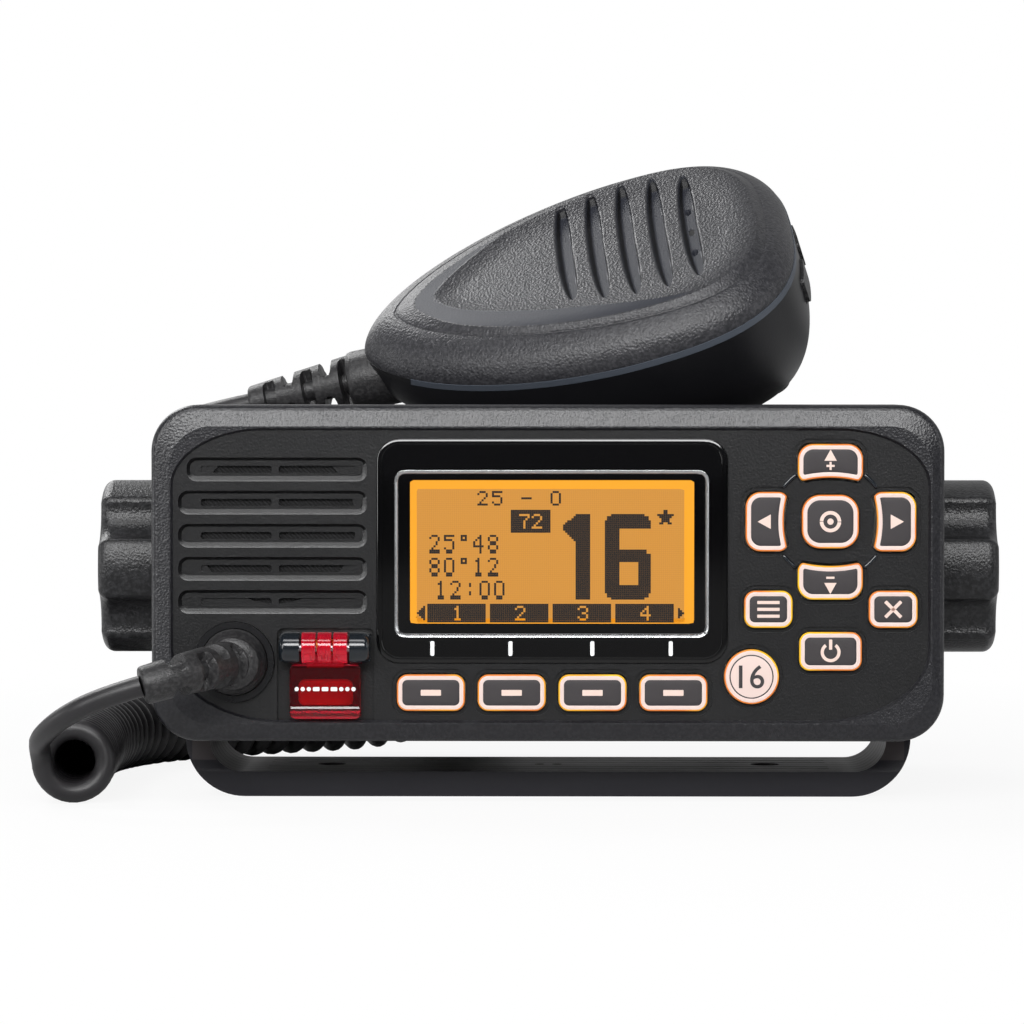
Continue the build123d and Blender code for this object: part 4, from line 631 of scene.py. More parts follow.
def flat_shape(name, loops, y, thick, body, finish_name):
    """Thin printed shape: each loop of (u, v) points becomes a plate of the print's thickness."""
    points, faces = [], []
    for loop in loops:
        loop = np.asarray(loop, float)
        start, count = len(points), len(loop)
        points += on_panel(loop, y).tolist() + on_panel(loop, y - thick).tolist()
        faces += [list(range(start, start + count)), list(range(start + count, start + 2 * count))[::-1]]
        faces += [[start + i, start + (i + 1) % count, start + count + (i + 1) % count, start + count + i]
                  for i in range(count)]
    return piece(name, points, faces, body, [finish_name])


def disc_loop(u, v, radius, around=32):
    angle = np.linspace(0, 2 * pi, around, endpoint=False)
    return np.stack([u + radius * np.cos(angle), v + radius * np.sin(angle)], -1)


def bar_loop(u, v, width, height, corner=0.0):
    """Rounded bar, from four quarter circles."""
    if not corner:
        return [(u - width / 2, v - height / 2), (u + width / 2, v - height / 2),
                (u + width / 2, v + height / 2), (u - width / 2, v + height / 2)]
    angle = np.linspace(0, 2 * pi, 32, endpoint=False) + pi / 32
    way = np.stack([np.cos(angle), np.sin(angle)], -1)
    return way * corner + np.sign(way) * (width / 2 - corner, height / 2 - corner) + (u, v)


def arc_loop(u, v, radius, wide, start, end, around=28):
    """Band along an arc, in degrees."""
    angle = np.radians(np.linspace(start, end, around))
    outer = np.stack([np.cos(angle), np.sin(angle)], -1)
    return np.concatenate([outer * (radius + wide / 2), outer[::-1] * (radius - wide / 2)]) + (u, v)


def arrow_loop(u, v, size, way):
    """Triangle that points along way."""
    at, way = np.array([u, v]), np.array(way, float)
    back, side = at - way * size * 0.38, np.array([-way[1], way[0]]) * size * 0.55
    return [at + way * size * 0.62, back + side, back - side]


# ------------------------------------------------------------------ keys
def key_distance(name):
    """Signed distance to a key's outline, about its middle."""
    u, v, width, height, _ = cad_place(name)
    half_u, half_v = width / 2 - KEY_FLANGE, height / 2 - KEY_FLANGE
    if name == "channel_16_key":
        return lambda a, b: np.hypot(a, b) - half_u
    if name == "enter_key":
        return lambda a, b: box_distance(a, b, half_u, half_v, 3.6)
    if name in BOXED_KEYS:
        return lambda a, b: box_distance(a, b, half_u, half_v, 2.1)
    way = np.array(ARROWS[name], float)
    middle_u, middle_v, *_ = cad_place("enter_key")
    along_u = way[0] != 0
    # the CAD node's own box ends at the tips of the scoop
    reach = abs(u - middle_u) - half_u if along_u else abs(v - middle_v) - half_v
    side = 2 * (half_v if along_u else half_u)
    radius = (side ** 2 / 4 + ARROW_SCOOP ** 2) / (2 * ARROW_SCOOP)
    hub = np.array([middle_u, middle_v]) + way * (reach + ARROW_SCOOP - radius) - (u, v)

    def distance(a, b):
        out = (a * way[0] + b * way[1]) > 0
        body = box_distance(a, b, half_u, half_v, np.where(out, 3.0, 1.9))
        return np.maximum(body, radius - np.hypot(a - hub[0], b - hub[1]))
    return distance


def key_icon(name):
    """Loops of a key's generic icon, in panel coordinates."""
    u, v, *_ = cad_place(name)
    if name.startswith("soft_key"):
        return [bar_loop(u, v, 4.0, 1.15, 0.15)]
    if name in ARROWS:
        way = ARROWS[name]
        if way[0]:
            return [arrow_loop(u + way[0] * 0.25, v, 2.6, way)]
        loops = [arrow_loop(u, v + 1.3 * way[1], 2.2, way), bar_loop(u, v - 0.55 * way[1], 1.6, 0.42)]
        if way[1] > 0:
            loops += [bar_loop(u, v - 0.55 + side * 0.505, 0.42, 0.59) for side in (-1, 1)]
        return loops
    if name == "enter_key":
        return [arc_loop(u, v, 1.75, 0.7, 0, 176), arc_loop(u, v, 1.75, 0.7, 180, 356),
                disc_loop(u, v, 0.62, 20)]
    if name == "menu_key":
        return [bar_loop(u, v + 1.35 * i, 4.4, 0.62, 0.1) for i in (-1, 0, 1)]
    if name == "clear_key":
        turn = np.array([[1, -1], [1, 1]]) * 0.70711
        bar = np.asarray(bar_loop(0, 0, 4.4, 0.66, 0.1))
        return [bar @ turn + (u, v), bar @ turn.T + (u, v)]
    if name == "power_key":
        return [arc_loop(u, v - 0.15, 1.65, 0.62, 125, 415), bar_loop(u, v + 1.35, 0.62, 2.0, 0.1)]
    return []


def make_key(name):
    """One key: stacked outlines from a hidden skirt over a rounded lit edge to the dark centre."""
    size = sizes()
    u, v, _, _, front = cad_place(name)
    distance, glow, rim = key_distance(name), size["key_glow"], size["key_rim"]
    steps = [(0.0, front + 1.6), (0.0, front + 0.42), (0.05, front + 0.2), (glow * 0.6, front + 0.06),
             (glow, front), (glow + 0.1, front - 0.02), (rim - 0.1, front - 0.02), (rim - 0.04, front),
             (rim, front + 0.03), (rim + 0.2, front - 0.01), (rim + 0.6, front - 0.05)]
    pale = name == "channel_16_key"
    bands = [2, 1, 1, 1, 0, 0, 0, 2, 2, 0 if pale else 2]
    rings = panel_rings(distance, steps, (u, v), 160)
    made = stack(name + "_cap", rings, name, ["key_rim", "key_glow", "key_dark"], bands)
    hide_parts(name)
    loops = key_icon(name)
    if loops:
        icon = flat_shape(name + "_icon", loops, front - 0.05, size["icon_relief"], name, "key_icon")
    if pale:
        print_digits(name + "_digits", "16", (u, v), 4.6, front - 0.05 - size["icon_relief"], name)


def drawn(curve):
    """Points and faces that Blender makes from a curve or a text, which is then removed."""
    holder = bpy.data.objects.new(curve.name, curve)
    bpy.context.scene.collection.objects.link(holder)
    bpy.context.view_layer.update()
    shape = bpy.data.meshes.new_from_object(holder)
    points = np.array([vertex.co for vertex in shape.vertices], float)
    faces = [list(polygon.vertices) for polygon in shape.polygons]
    bpy.data.objects.remove(holder)
    bpy.data.curves.remove(curve)
    bpy.data.meshes.remove(shape)
    return points, faces


def print_digits(name, text, centre, tall, y, body):
    """Plain digits as flat print: Blender's own letterforms made a mesh, centred and scaled to a height."""
    words = bpy.data.curves.new(name, "FONT")
    words.body, words.resolution_u, words.offset = text, 8, 0.006
    points, faces = drawn(words)
    points = points[:, :2]
    low, high = points.min(0), points.max(0)
    points = (points - (low + high) / 2) * tall / (high[1] - low[1])
    made = piece(name, on_panel(points, y, centre), faces, body, ["key_dark"], close=False)


def cluster_lips():
    """Four glossy lips on the round well's edge, between neighbouring arrow keys.

    Each is an arc whose round section thins at its ends by the root of 1 - x^8.
    """
    u, v, *_ = cad_place("enter_key")
    along, section = np.linspace(-1, 1, 15), np.linspace(0, 2 * pi, 12, endpoint=False)
    taper = np.sqrt(np.clip(1 - along ** 8, 0.04, 1))[:, None]
    radius, depth = 11.35 + 0.42 * np.cos(section) * taper, -37.12 - 0.34 * np.sin(section) * taper
    for quarter in range(4):
        angle = (radians(45 + 90 * quarter) + 0.17 * along)[:, None]
        rings = np.stack([u + radius * np.cos(angle), depth, PIVOT_Z + v + radius * np.sin(angle)], -1)
        made = stack(f"cluster_lip_{quarter + 1}", rings, "radio", ["lug_gloss"])


# ------------------------------------------------------------------ display
def lcd_corner():
    """Lower left corner of the dot area, in millimetres as x and z."""
    u, v, *_ = cad_place("lcd_glass")
    return u + DOT_START[0], v + PIVOT_Z + DOT_START[1]


DOT_DIGITS = {
    "0": ".###. #...# #...# #...# #...# #...# .###.", "1": "..#.. .##.. ..#.. ..#.. ..#.. ..#.. .###.",
    "2": ".###. #...# ....# ...#. ..#.. .#... #####", "3": ".###. #...# ....# ..##. ....# #...# .###.",
    "4": "...#. ..##. .#.#. #..#. ##### ...#. ...#.", "5": "##### #.... ####. ....# ....# #...# .###.",
    "7": "##### ....# ...#. ..#.. ..#.. ..#.. ..#..", "8": ".###. #...# #...# .###. #...# #...# .###.",
    "-": "..... ..... ..... ##### ..... ..... .....", ":": "..... ..#.. ..#.. ..... ..#.. ..#.. .....",
    "o": ".###. .#.#. .###. ..... ..... ..... .....",
}


def display_dots():
    """Which dots are on: an array of rows (from the bottom) and columns, drawn from plain shapes."""
    size = sizes()
    rows, columns = int(size["lcd_rows"]), int(size["lcd_columns"])
    y, x = np.mgrid[0:rows, 0:columns] + 0.5
    on = np.zeros((rows, columns), bool)

    def block(left, right, low, high, corner=0.0):
        middle_x, middle_y = (left + right) / 2, (low + high) / 2
        return box_distance(x - middle_x, y - middle_y, (right - left) / 2, (high - low) / 2, corner) < 0

    def sign(text, left, low, tall):
        """A digit of 5 by 7 dots, stretched to the wanted height."""
        art = np.array([[dot == "#" for dot in row] for row in reversed(DOT_DIGITS[text].split())])
        lit = np.zeros_like(on)
        picked = np.minimum((np.arange(tall) * 7) // tall, 6)
        lit[low:low + tall, left:left + 5] = art[picked]
        return lit

    def line(text, left, low, tall=9, step=7):
        lit = np.zeros_like(on)
        for i, mark in enumerate(text):
            if mark != " ":
                lit |= sign(mark, left + i * step, low, tall)
        return lit

    on |= line("25 - 0", 29, 56, 7)
    on |= block(45, 64, 43, 54, 1.6) & ~line("72", 49, 45, 7, 6)
    on |= line("25o48", 6, 33) | line("80o12", 6, 22) | line("12:00", 9, 11)
    on |= block(76, 83, 11, 52)
    on |= (x > 69) & (x < 76) & (np.abs(y - 44.6 + (76 - x) * -0.2) < (x - 68.6) * 0.95 - 0.5)
    six = block(90, 112, 11, 52, 5.0) & ~block(97, 106, 18, 29, 1.6) & ~block(97, 113, 35, 45, 1.6)
    on |= six & ~((x > 110) & (y > 33) & (y < 45))
    angle, radius = np.arctan2(x - 119, y - 50.5), np.hypot(x - 119, y - 50.5)
    on |= radius < 2.1 + 2.6 * np.abs(1 - np.mod(angle / (2 * pi / 5) * 2, 2)) ** 1.6
    for i, mark in enumerate(("1", "2", "3", "4")):
        left = 5 + i * 30
        on |= block(left, left + 28, 0, 9, 1.2) & ~sign(mark, left + 12, 1, 7)
    on |= (x < 4) & (np.abs(y - 4.5) < x - 0.4)
    on |= (x > 124.5) & (np.abs(y - 4.5) < 128 - x)
    return on


class MARINE_OT_display(bpy.types.Operator):
    """Makes the glossy window, its bright line, the lit display and its dots"""
    bl_idname = "marine.display"
    bl_label = "Display"

    def execute(self, context):
        size = sizes()
        u, v, width, height, front = cad_place("display_window")
        line_u, line_v, *_ = cad_place("lcd_glass")
        corner_x, corner_z = lcd_corner()
        wide, around, low = size["bezel_line"], 320, front + 0.45
        columns, rows = int(size["lcd_columns"]), int(size["lcd_rows"])

        def area(middle_u, middle_v, half_u, half_v, corner):
            """Rounded box given in panel coordinates, as a distance about the window's middle."""
            return lambda a, b: box_distance(a - middle_u + u, b - middle_v + v, half_u, half_v, corner)

        pane = area(u, v, width / 2, height / 2, WINDOW_CORNER)
        sunk = area(line_u, line_v, LINE_SIZE[0] / 2, LINE_SIZE[1] / 2, LINE_CORNER)
        screen = area(*SCREEN_MIDDLE, *SCREEN_HALF, SCREEN_CORNER)
        rings = panel_rings(pane, (
            (0.5, front + 1.1), (0.0, front + 1.1), (0.0, front + 0.3), (0.08, front + 0.1), (0.25, front),
            (0.95, front), (1.02, front + 0.06), (1.12, front + 0.06), (1.2, front)), (u, v), around)
        rings += panel_rings(sunk, ((-0.12, front), (0.0, front + 0.1), (wide, low), (wide + 0.05, low)),
                             (u, v), around)
        rings += panel_rings(screen, ((0.0, low), (0.0, front + 1.1)), (u, v), around)
        made = stack("window_pane", rings, "radio", ["gloss_black"], loop=True)
        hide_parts("display_window")

        rings = panel_rings(sunk, (
            (-0.16, front + 0.03), (-0.14, front - 0.05), (-0.06, front - 0.07), (0.03, front - 0.02),
            (wide * 0.55, front + 0.22), (wide, low - 0.03), (wide, low + 0.1), (-0.1, low + 0.1)),
            (u, v), around)
        made = stack("window_line", rings, "radio", ["bezel_silver"], loop=True, sharp=60)

        level, pitch = low + 0.12, DOT_PITCH
        border = panel_rings(screen, ((-0.2, level + 0.4), (-0.2, level), (1.0, level)), (u, v), around)
        half_u, half_v = columns * pitch / 2, rows * pitch / 2
        dots = area(corner_x + half_u, corner_z - PIVOT_Z + half_v, half_u, half_v, 0.1)
        border += panel_rings(dots, ((0.0, level), (6.0, level)), (u, v), around)
        made = stack("lit_display", border, "radio", ["lcd_border", "lcd_ground"], bands=[0, 0, 0, 1])
        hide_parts("lcd_glass")

        row, column = np.nonzero(display_dots())
        left, low, gap = corner_x + column * pitch, corner_z + row * pitch, pitch * 0.01
        x = np.stack([left + gap, left + pitch - gap, left + pitch - gap, left + gap], -1)
        z = np.stack([low + gap, low + gap, low + pitch - gap, low + pitch - gap], -1)
        points = np.stack([x, np.full_like(x, level - 0.02), z], -1).reshape(-1, 3)
        faces = np.arange(len(points)).reshape(-1, 4).tolist()
        piece("display_dots", points, faces, "radio", ["lcd_dark"], close=False)

        ticks = [bar_loop(place, TICK_V, *TICK_SIZE) for place in TICK_PLACES]
        flat_shape("window_ticks", ticks, front, 0.04, "radio", "print_white")
        return {"FINISHED"}


class MARINE_OT_keys(bpy.types.Operator):
    """Makes the panel's thirteen keys, their icons and the glossy lips between the arrow keys"""
    bl_idname = "marine.keys"
    bl_label = "Keys"

    def execute(self, context):
        for name in BOXED_KEYS + tuple(ARROWS) + ("enter_key", "channel_16_key"):
            make_key(name)
        cluster_lips()
        return {"FINISHED"}


# ------------------------------------------------------------------ cord
def route(points, per_span=24):
    """Points along the smooth line that a NURBS spline of order 3 draws from its control points."""
    line = bpy.data.curves.new("route", "CURVE")
    line.dimensions = "3D"
    spline = line.splines.new("NURBS")
    spline.points.add(len(points) - 1)
    for spot, place in zip(spline.points, points):
        spot.co = (*place, 1.0)
    spline.order_u = 3
    spline.use_endpoint_u = True
    spline.resolution_u = per_span
    return drawn(line)[0]


def distances(path):
    return np.concatenate([[0], np.cumsum(np.linalg.norm(np.diff(path, axis=0), axis=1))])


def even(path, step):
    """The same line with points an even distance apart."""
    along = distances(path)
    count = max(int(along[-1] / step), 2) + 1
    wanted = np.linspace(0, along[-1], count)
    return np.stack([np.interp(wanted, along, path[:, i]) for i in range(3)], -1)


def carried_frames(path, first_side):
    """Tangents, and two cross directions carried along the line without twist."""
    tangent = np.gradient(path, axis=0)
    tangent /= np.linalg.norm(tangent, axis=1, keepdims=True)
    side = np.array(first_side, float)
    sides = np.zeros_like(path)
    for i, way in enumerate(tangent):
        side = side - way * (side @ way)
        side /= np.linalg.norm(side)
        sides[i] = side
    return tangent, sides, np.cross(sides, tangent)


def swept(path, radius, around, first_side=(0.0, 0.0, 1.0)):
    """Rings round a line; radius is a number or an array of (points, around)."""
    _, side, up = carried_frames(path, first_side)
    angle = np.linspace(0, 2 * pi, around, endpoint=False)
    radius = np.broadcast_to(np.asarray(radius, float), (len(path), around))[..., None]
    ways = np.cos(angle)[:, None] * side[:, None] + np.sin(angle)[:, None] * up[:, None]
    return path[:, None] + radius * ways


def cable_path():
    """Cable centreline in millimetres: front tail, a helix round the coil's route, and the microphone's tail.

    The helix starts on the left of the coil's axis, where the tail comes down, and goes round by a turn per
    pitch. The pitch is wide over the first quarter turn, to take over the tail's slope, and opens where the
    coil bends, so that turns touch on the inside only. Its radius closes to nothing before the last tail.
    """
    size = sizes()
    cable, mean = size["cable"], (size["coil"] - size["cable"]) / 2
    axis = even(route(COIL_RUN + MIC_RUN) / MM, 0.05)
    along = distances(axis)
    last = along[np.argmin(np.linalg.norm(axis - np.array(COIL_RUN[-1]) / MM, axis=1))]
    tangent, right, up = carried_frames(axis, (1.0, 0.0, 0.0))
    bend = np.linalg.norm(np.gradient(tangent, along, axis=0), axis=1)
    bend = np.convolve(np.pad(bend, 100, mode="edge"), np.ones(201) / 201, "valid")
    radius = (mean * (1 - rise(along, last - 7.0, last + 1.0)))[:, None]
    pitch = cable * 1.02 / (1 - np.clip(mean * bend, 0, 0.6)) + 20.0 * np.exp(-along / 1.5)
    phase = 2 * pi * np.cumsum(np.gradient(along) / pitch)
    phase = (phase - phase[0])[:, None]
    helix = axis - radius * (np.cos(phase) * right + np.sin(phase) * up)
    tail = even(route(FRONT_RUN) / MM, 0.4)
    return np.concatenate([tail[:-1], helix])


class MARINE_OT_cord(bpy.types.Operator):
    """Makes the curly cord with its straight tails as one tube"""
    bl_idname = "marine.cord"
    bl_label = "Cord"

    def execute(self, context):
        size = sizes()
        path = even(cable_path(), 1.2)
        made = stack("curly_cord_cable", swept(path, size["cable"] / 2, 16), None, ["cable_rubber"], sharp=60)
        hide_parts("cord_front_tail", "curly_cord", "cord_mic_tail")
        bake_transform(made)
        size["cable"] * MM
        return {"FINISHED"}


# ------------------------------------------------------------------ strain reliefs
def relief(name, path, root, tip, core, gaps, body, first_side, collar, tip_round=0.8):
    """Tapered relief, cut by pairs of rounded windows that turn a quarter from each pair to the next.

    Radius = core inside a window and the taper elsewhere. A window is a rounded box in the distance along
    and the angle round the line, 0.62 of a step long and 64 degrees to each side of its middle.
    """
    along = distances(path)
    share = (along / along[-1])[:, None]
    angle = np.linspace(0, 2 * pi, 72, endpoint=False)[None, :]
    outer = root + (tip - root) * share
    steps = share / (1 - collar) * gaps
    number = np.clip(np.floor(steps), 0, gaps - 1)
    off_middle = np.abs(np.mod(angle + (number + 1) * pi / 2 + pi / 2, pi) - pi / 2)
    reach = np.hypot(np.abs((steps - number - 0.5) / 0.31) ** 1.6, np.abs(off_middle / 1.12) ** 2.2)
    mask = rise(reach, 0.86, 1.06)
    edge = np.clip((1 - share) * along[-1] / tip_round, 0, 1)
    radius = core + (outer - core) * mask - tip_round * (1 - np.sqrt(1 - (1 - edge) ** 2))
    rings = swept(path, radius, 72, first_side)
    return stack(name, rings, body, ["boot_rubber"], sharp=50)


class MARINE_OT_strain_reliefs(bpy.types.Operator):
    """Makes the domed plug and ribbed relief at the panel, and the relief at the microphone"""
    bl_idname = "marine.strain_reliefs"
    bl_label = "Strain reliefs"

    def execute(self, context):
        u, v, *_ = cad_place("mic_socket")
        turn = np.linspace(0, 2 * pi, 96, endpoint=False)
        profile = np.array([
            (6.4, -33.0), (6.55, -34.0), (6.55, -38.6), (6.5, -39.2), (6.25, -40.0), (5.85, -40.8),
            (5.45, -41.4), (5.3, -41.9), (5.2, -42.4), (4.9, -42.8), (3.6, -43.1)])
        rings = np.stack([u + profile[:, :1] * np.cos(turn), np.repeat(profile[:, 1:], 96, 1),
                          v + PIVOT_Z + profile[:, :1] * np.sin(turn)], -1)
        plug = stack("panel_boot_plug", rings, "radio", ["boot_rubber"], sharp=50)
        path = even(route(PANEL_BOOT_RUN) / MM, 0.12)
        made = relief("panel_boot_relief", path, 4.6, 3.75, 2.35, 4, "radio", (0, 0, 1), 0.17)
        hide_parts("panel_cord_boot")

        way = np.array(MIC_BOOT_DIR) / np.linalg.norm(MIC_BOOT_DIR)
        path = MIC_BOOT_START + np.outer(np.linspace(3.0, MIC_BOOT_LENGTH, 220), way)
        made = relief("mic_boot_relief", path, 5.9, 3.5, 2.5, 5, "microphone", (0, 0, 1), 0.12)
        place = np.array([(-5.0, 6.1), (-4.9, 6.3), (3.6, 6.3), (4.4, 6.1), (4.8, 5.6), (4.9, 4.0)])
        path = MIC_BOOT_START + np.outer(place[:, 0], way)
        rings = swept(path, place[:, 1:], 64)
        collar = stack("mic_boot_collar", rings, "microphone", ["boot_rubber"], sharp=50)
        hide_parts("mic_cord_boot")
        return {"FINISHED"}


# ------------------------------------------------------------------ microphone
def mic_world(s, t, h):
    """Microphone coordinates to millimetres in the radio's frame."""
    x = MIC_LONG / np.linalg.norm(MIC_LONG)
    z = MIC_FACE - x * (MIC_FACE @ x)
    z /= np.linalg.norm(z)
    y = np.cross(z, x)
    s, t, h = np.broadcast_arrays(s, t, h)
    return MIC_ORIGIN + s[..., None] * x + t[..., None] * y + h[..., None] * z


def egg(inset, around):
    """Egg outline: half-width W (1 - x^1.8)^0.625 towards the cord, W (1 - x^2.7)^(1/2.7) towards the top.

    inset, a number or one value per point, shortens both axes of the egg.
    """
    quarter = around // 4
    a = pi / 2 * np.linspace(0, 1, quarter, endpoint=False)
    inset = np.broadcast_to(inset, (around,))
    width, cord, top = (np.maximum(length - inset, 0.0) for length in
                        (MIC_HALF_WIDTH, MIC_WIDEST, MIC_LENGTH - MIC_WIDEST))
    sine, cosine = np.sin(a), np.cos(a)
    cord_along, cord_across = 2 / CORD_ALONG, 2 / CORD_ACROSS
    along = np.concatenate([-cosine ** cord_along, sine ** TOP_SWEEP, cosine ** TOP_SWEEP,
                            -sine ** cord_along])
    across = np.concatenate([sine ** cord_across, cosine ** TOP_SWEEP, -sine ** TOP_SWEEP,
                             -cosine ** cord_across])
    to_top = np.repeat([0, 1, 1, 0], quarter).astype(bool)
    return MIC_WIDEST + along * np.where(to_top, top, cord), across * width


def egg_inset(s, t):
    """How far a point of the face lies inside the egg, found by halving between nothing and its width."""
    up = s > MIC_WIDEST

    def within(d):
        length = np.maximum(np.where(up, MIC_LENGTH - MIC_WIDEST, MIC_WIDEST) - d, 1e-6)
        x, y = np.abs(s - MIC_WIDEST) / length, np.abs(t) / (MIC_HALF_WIDTH - d)
        return ~(np.where(up, x ** TOP_POWER + y ** TOP_POWER, x ** CORD_ALONG + y ** CORD_ACROSS) > 1)

    return halved(within, np.zeros_like(s), np.full_like(s, MIC_HALF_WIDTH - 0.1), 26)


def foot_inset(s):
    """Inset of the line where the slope up to the plateau starts: wide at the cord end, close at the top."""
    return 9.0 - 4.6 * np.clip((s - 10.0) / 76.0, 0, 1)


def edge_inset(s, t):
    """Inset of the plateau's edge: a slope wide at the cord's end and far side, steep on the near side."""
    far, near = np.interp(s, SLOPE_PLACES, SLOPE_FAR), np.interp(s, SLOPE_PLACES, SLOPE_NEAR)
    return foot_inset(s) + np.where(t > 0, far, near)


def face_height(s, t, inset):
    """Height of the uncut face.

    A shoulder like a squashed ellipse, a shallow line in front of the foot, a straight slope to the plateau's
    edge, and a dish in the plateau that sinks by a parabola from its own crisp boundary.
    """
    q = np.clip(inset / SHOULDER_WIDTH, 0, 1)
    foot, edge = foot_inset(s), edge_inset(s, t)
    height = HALF_STRIP + SHOULDER_HEIGHT * (1 - (1 - q) ** 2.6) ** 0.62
    line = rise(inset, foot - 0.5, foot - 0.12) * (1 - rise(inset, foot - 0.02, foot + 0.25))
    height = height - FOOT_LINE_DEPTH * line
    height = height + PLATEAU_HEIGHT * np.clip((inset - foot) / (edge - foot), 0, 1)
    return height - DISH_DEPTH * (1 - (1 - np.clip((inset - dish_inset(s, t)) / DISH_WIDTH, 0, 1)) ** 2)


def dish_inset(s, t):
    """Inset of the dish's boundary: well inside the plateau at the cord's end, on its edge further up."""
    far = np.interp(s, (12.0, 34.0), (6.4, 0.0))
    near = np.interp(s, (12.0, 35.0, 50.0, 72.0), (6.4, 6.0, 4.4, 0.0))
    return edge_inset(s, t) + np.where(t > 0, far, near)


def groove_cut(s, t):
    """Depth of the grooves: a sloped left wall, a steep right one, and a floor that rises at the far end."""
    cut = np.zeros_like(s)
    depth = sizes()["groove_depth"]
    for place, low, high in GROOVES:
        middle, half = (low + high) / 2, (high - low) / 2
        across = (t - middle) / half
        slim = np.sqrt(np.clip(1 - np.abs(across) ** 3.0, 0, 1))
        beside = (s - place - 0.6 * across ** 2) / np.maximum(GROOVE_HALF * slim, 1e-3)
        shape = np.where(beside < 0, 1 - rise(-beside, 0.30, 1.0), 1 - rise(beside, 0.78, 1.0))
        cut = np.maximum(cut, depth * shape * (1 - 0.8 * rise(t, high - 3.6, high - 0.3)))
    for t_hole in MIC_OPENINGS:
        spot = np.hypot((s - GROOVES[-1][0] - 0.2) / 0.62, (t - t_hole) / 1.0)
        cut = cut + OPENING_DEPTH * (1 - rise(spot, 0.75, 1.0))
    return cut


class MARINE_OT_microphone(bpy.types.Operator):
    """Makes the microphone's shouldered face and its grooved plateau"""
    bl_idname = "marine.microphone"
    bl_label = "Microphone"

    def execute(self, context):
        around = 480
        foot = edge = np.full(around, 8.0)
        for _ in range(14):
            foot = foot_inset(egg(foot, around)[0])
            edge = edge_inset(*egg(edge, around))
        insets = [0.3 * q for q in (0.0, 0.03, 0.12, 0.3, 0.55, 1.0)]
        insets += [0.3 + (foot - 0.9) * q ** 1.3 for q in np.linspace(0.03, 1, 34)]
        insets += [foot + step for step in (-0.5, -0.38, -0.25, -0.12, -0.02, 0.08, 0.16, 0.25)]
        insets += [foot + 0.25 + (edge - foot - 0.35) * q for q in (0.25, 0.5, 0.75, 1.0)]
        insets += [edge - 0.04, edge + 0.02, edge + 0.12, edge + SEAM_INSET]
        rings = [mic_world(*egg(2.4, around), HALF_STRIP)]
        for inset in insets:
            s, t = egg(inset, around)
            rings.append(mic_world(s, t, face_height(s, t, inset)))
        for further, down in ((0.0, 0.08), (0.9, 0.12), (0.9, 5.0)):
            s, t = egg(edge + SEAM_INSET + further, around)
            rings.append(mic_world(s, t, face_height(s, t, edge + SEAM_INSET + further) - down))
        face = stack("mic_face", rings, "microphone", ["microphone_plastic"], sharp=40)
        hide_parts("mic_front_shell")
        for part in (face, self.plateau()):
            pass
        return {"FINISHED"}

    def plateau(self):
        """Grooved plateau on rows across the microphone, dense where the grooves are; its skirt goes down."""
        rows = np.concatenate([np.arange(13.0, 43.0, 0.5), np.arange(43.0, 76.0, 0.2),
                               np.arange(76.0, 88.0, 0.4)])
        near, far = (side * halved(
            lambda across: egg_inset(rows, across) > edge_inset(rows, side * across) + SEAM_INSET,
            np.zeros_like(rows), np.full_like(rows, MIC_HALF_WIDTH), 30) for side in (-1.0, 1.0))
        kept = (far - near) > 0.5
        rows, near, far = rows[kept], near[kept][:, None], far[kept][:, None]
        even_share = np.linspace(0, 1, 161)
        share = 0.5 - 0.5 * np.cos(pi * even_share) * 0.35 + 0.65 * (even_share - 0.5)
        share = (share - share[0]) / (share[-1] - share[0])
        s, t = np.repeat(rows[:, None], len(share), 1), near + (far - near) * share[None, :]
        inset, cut = egg_inset(s, t), groove_cut(s, t)
        height = face_height(s, t, inset)
        polish_and_shade = 1 - rise(inset - dish_inset(s, t), -0.25, 0.25)
        depth = sizes()["groove_depth"]
        floor = rise(cut, depth * 0.86, depth * 0.97)
        # the grooves' walls go up to 2, painted shade that the finish turns black; their floors stay at 1
        polish_and_shade = np.maximum(polish_and_shade, rise(cut, 0.1, 0.5) * (2.0 - floor))
        top, skirt = mic_world(s, t, height - cut), mic_world(s, t, height - PLATEAU_SKIRT)
        rings = np.concatenate([top, skirt[:, ::-1]], 1)
        polish_and_shade = np.concatenate([polish_and_shade, polish_and_shade[:, ::-1]], 1)
        return stack("mic_plateau", rings, "microphone", ["microphone_plastic"], sharp=55, polish_and_shade=polish_and_shade)


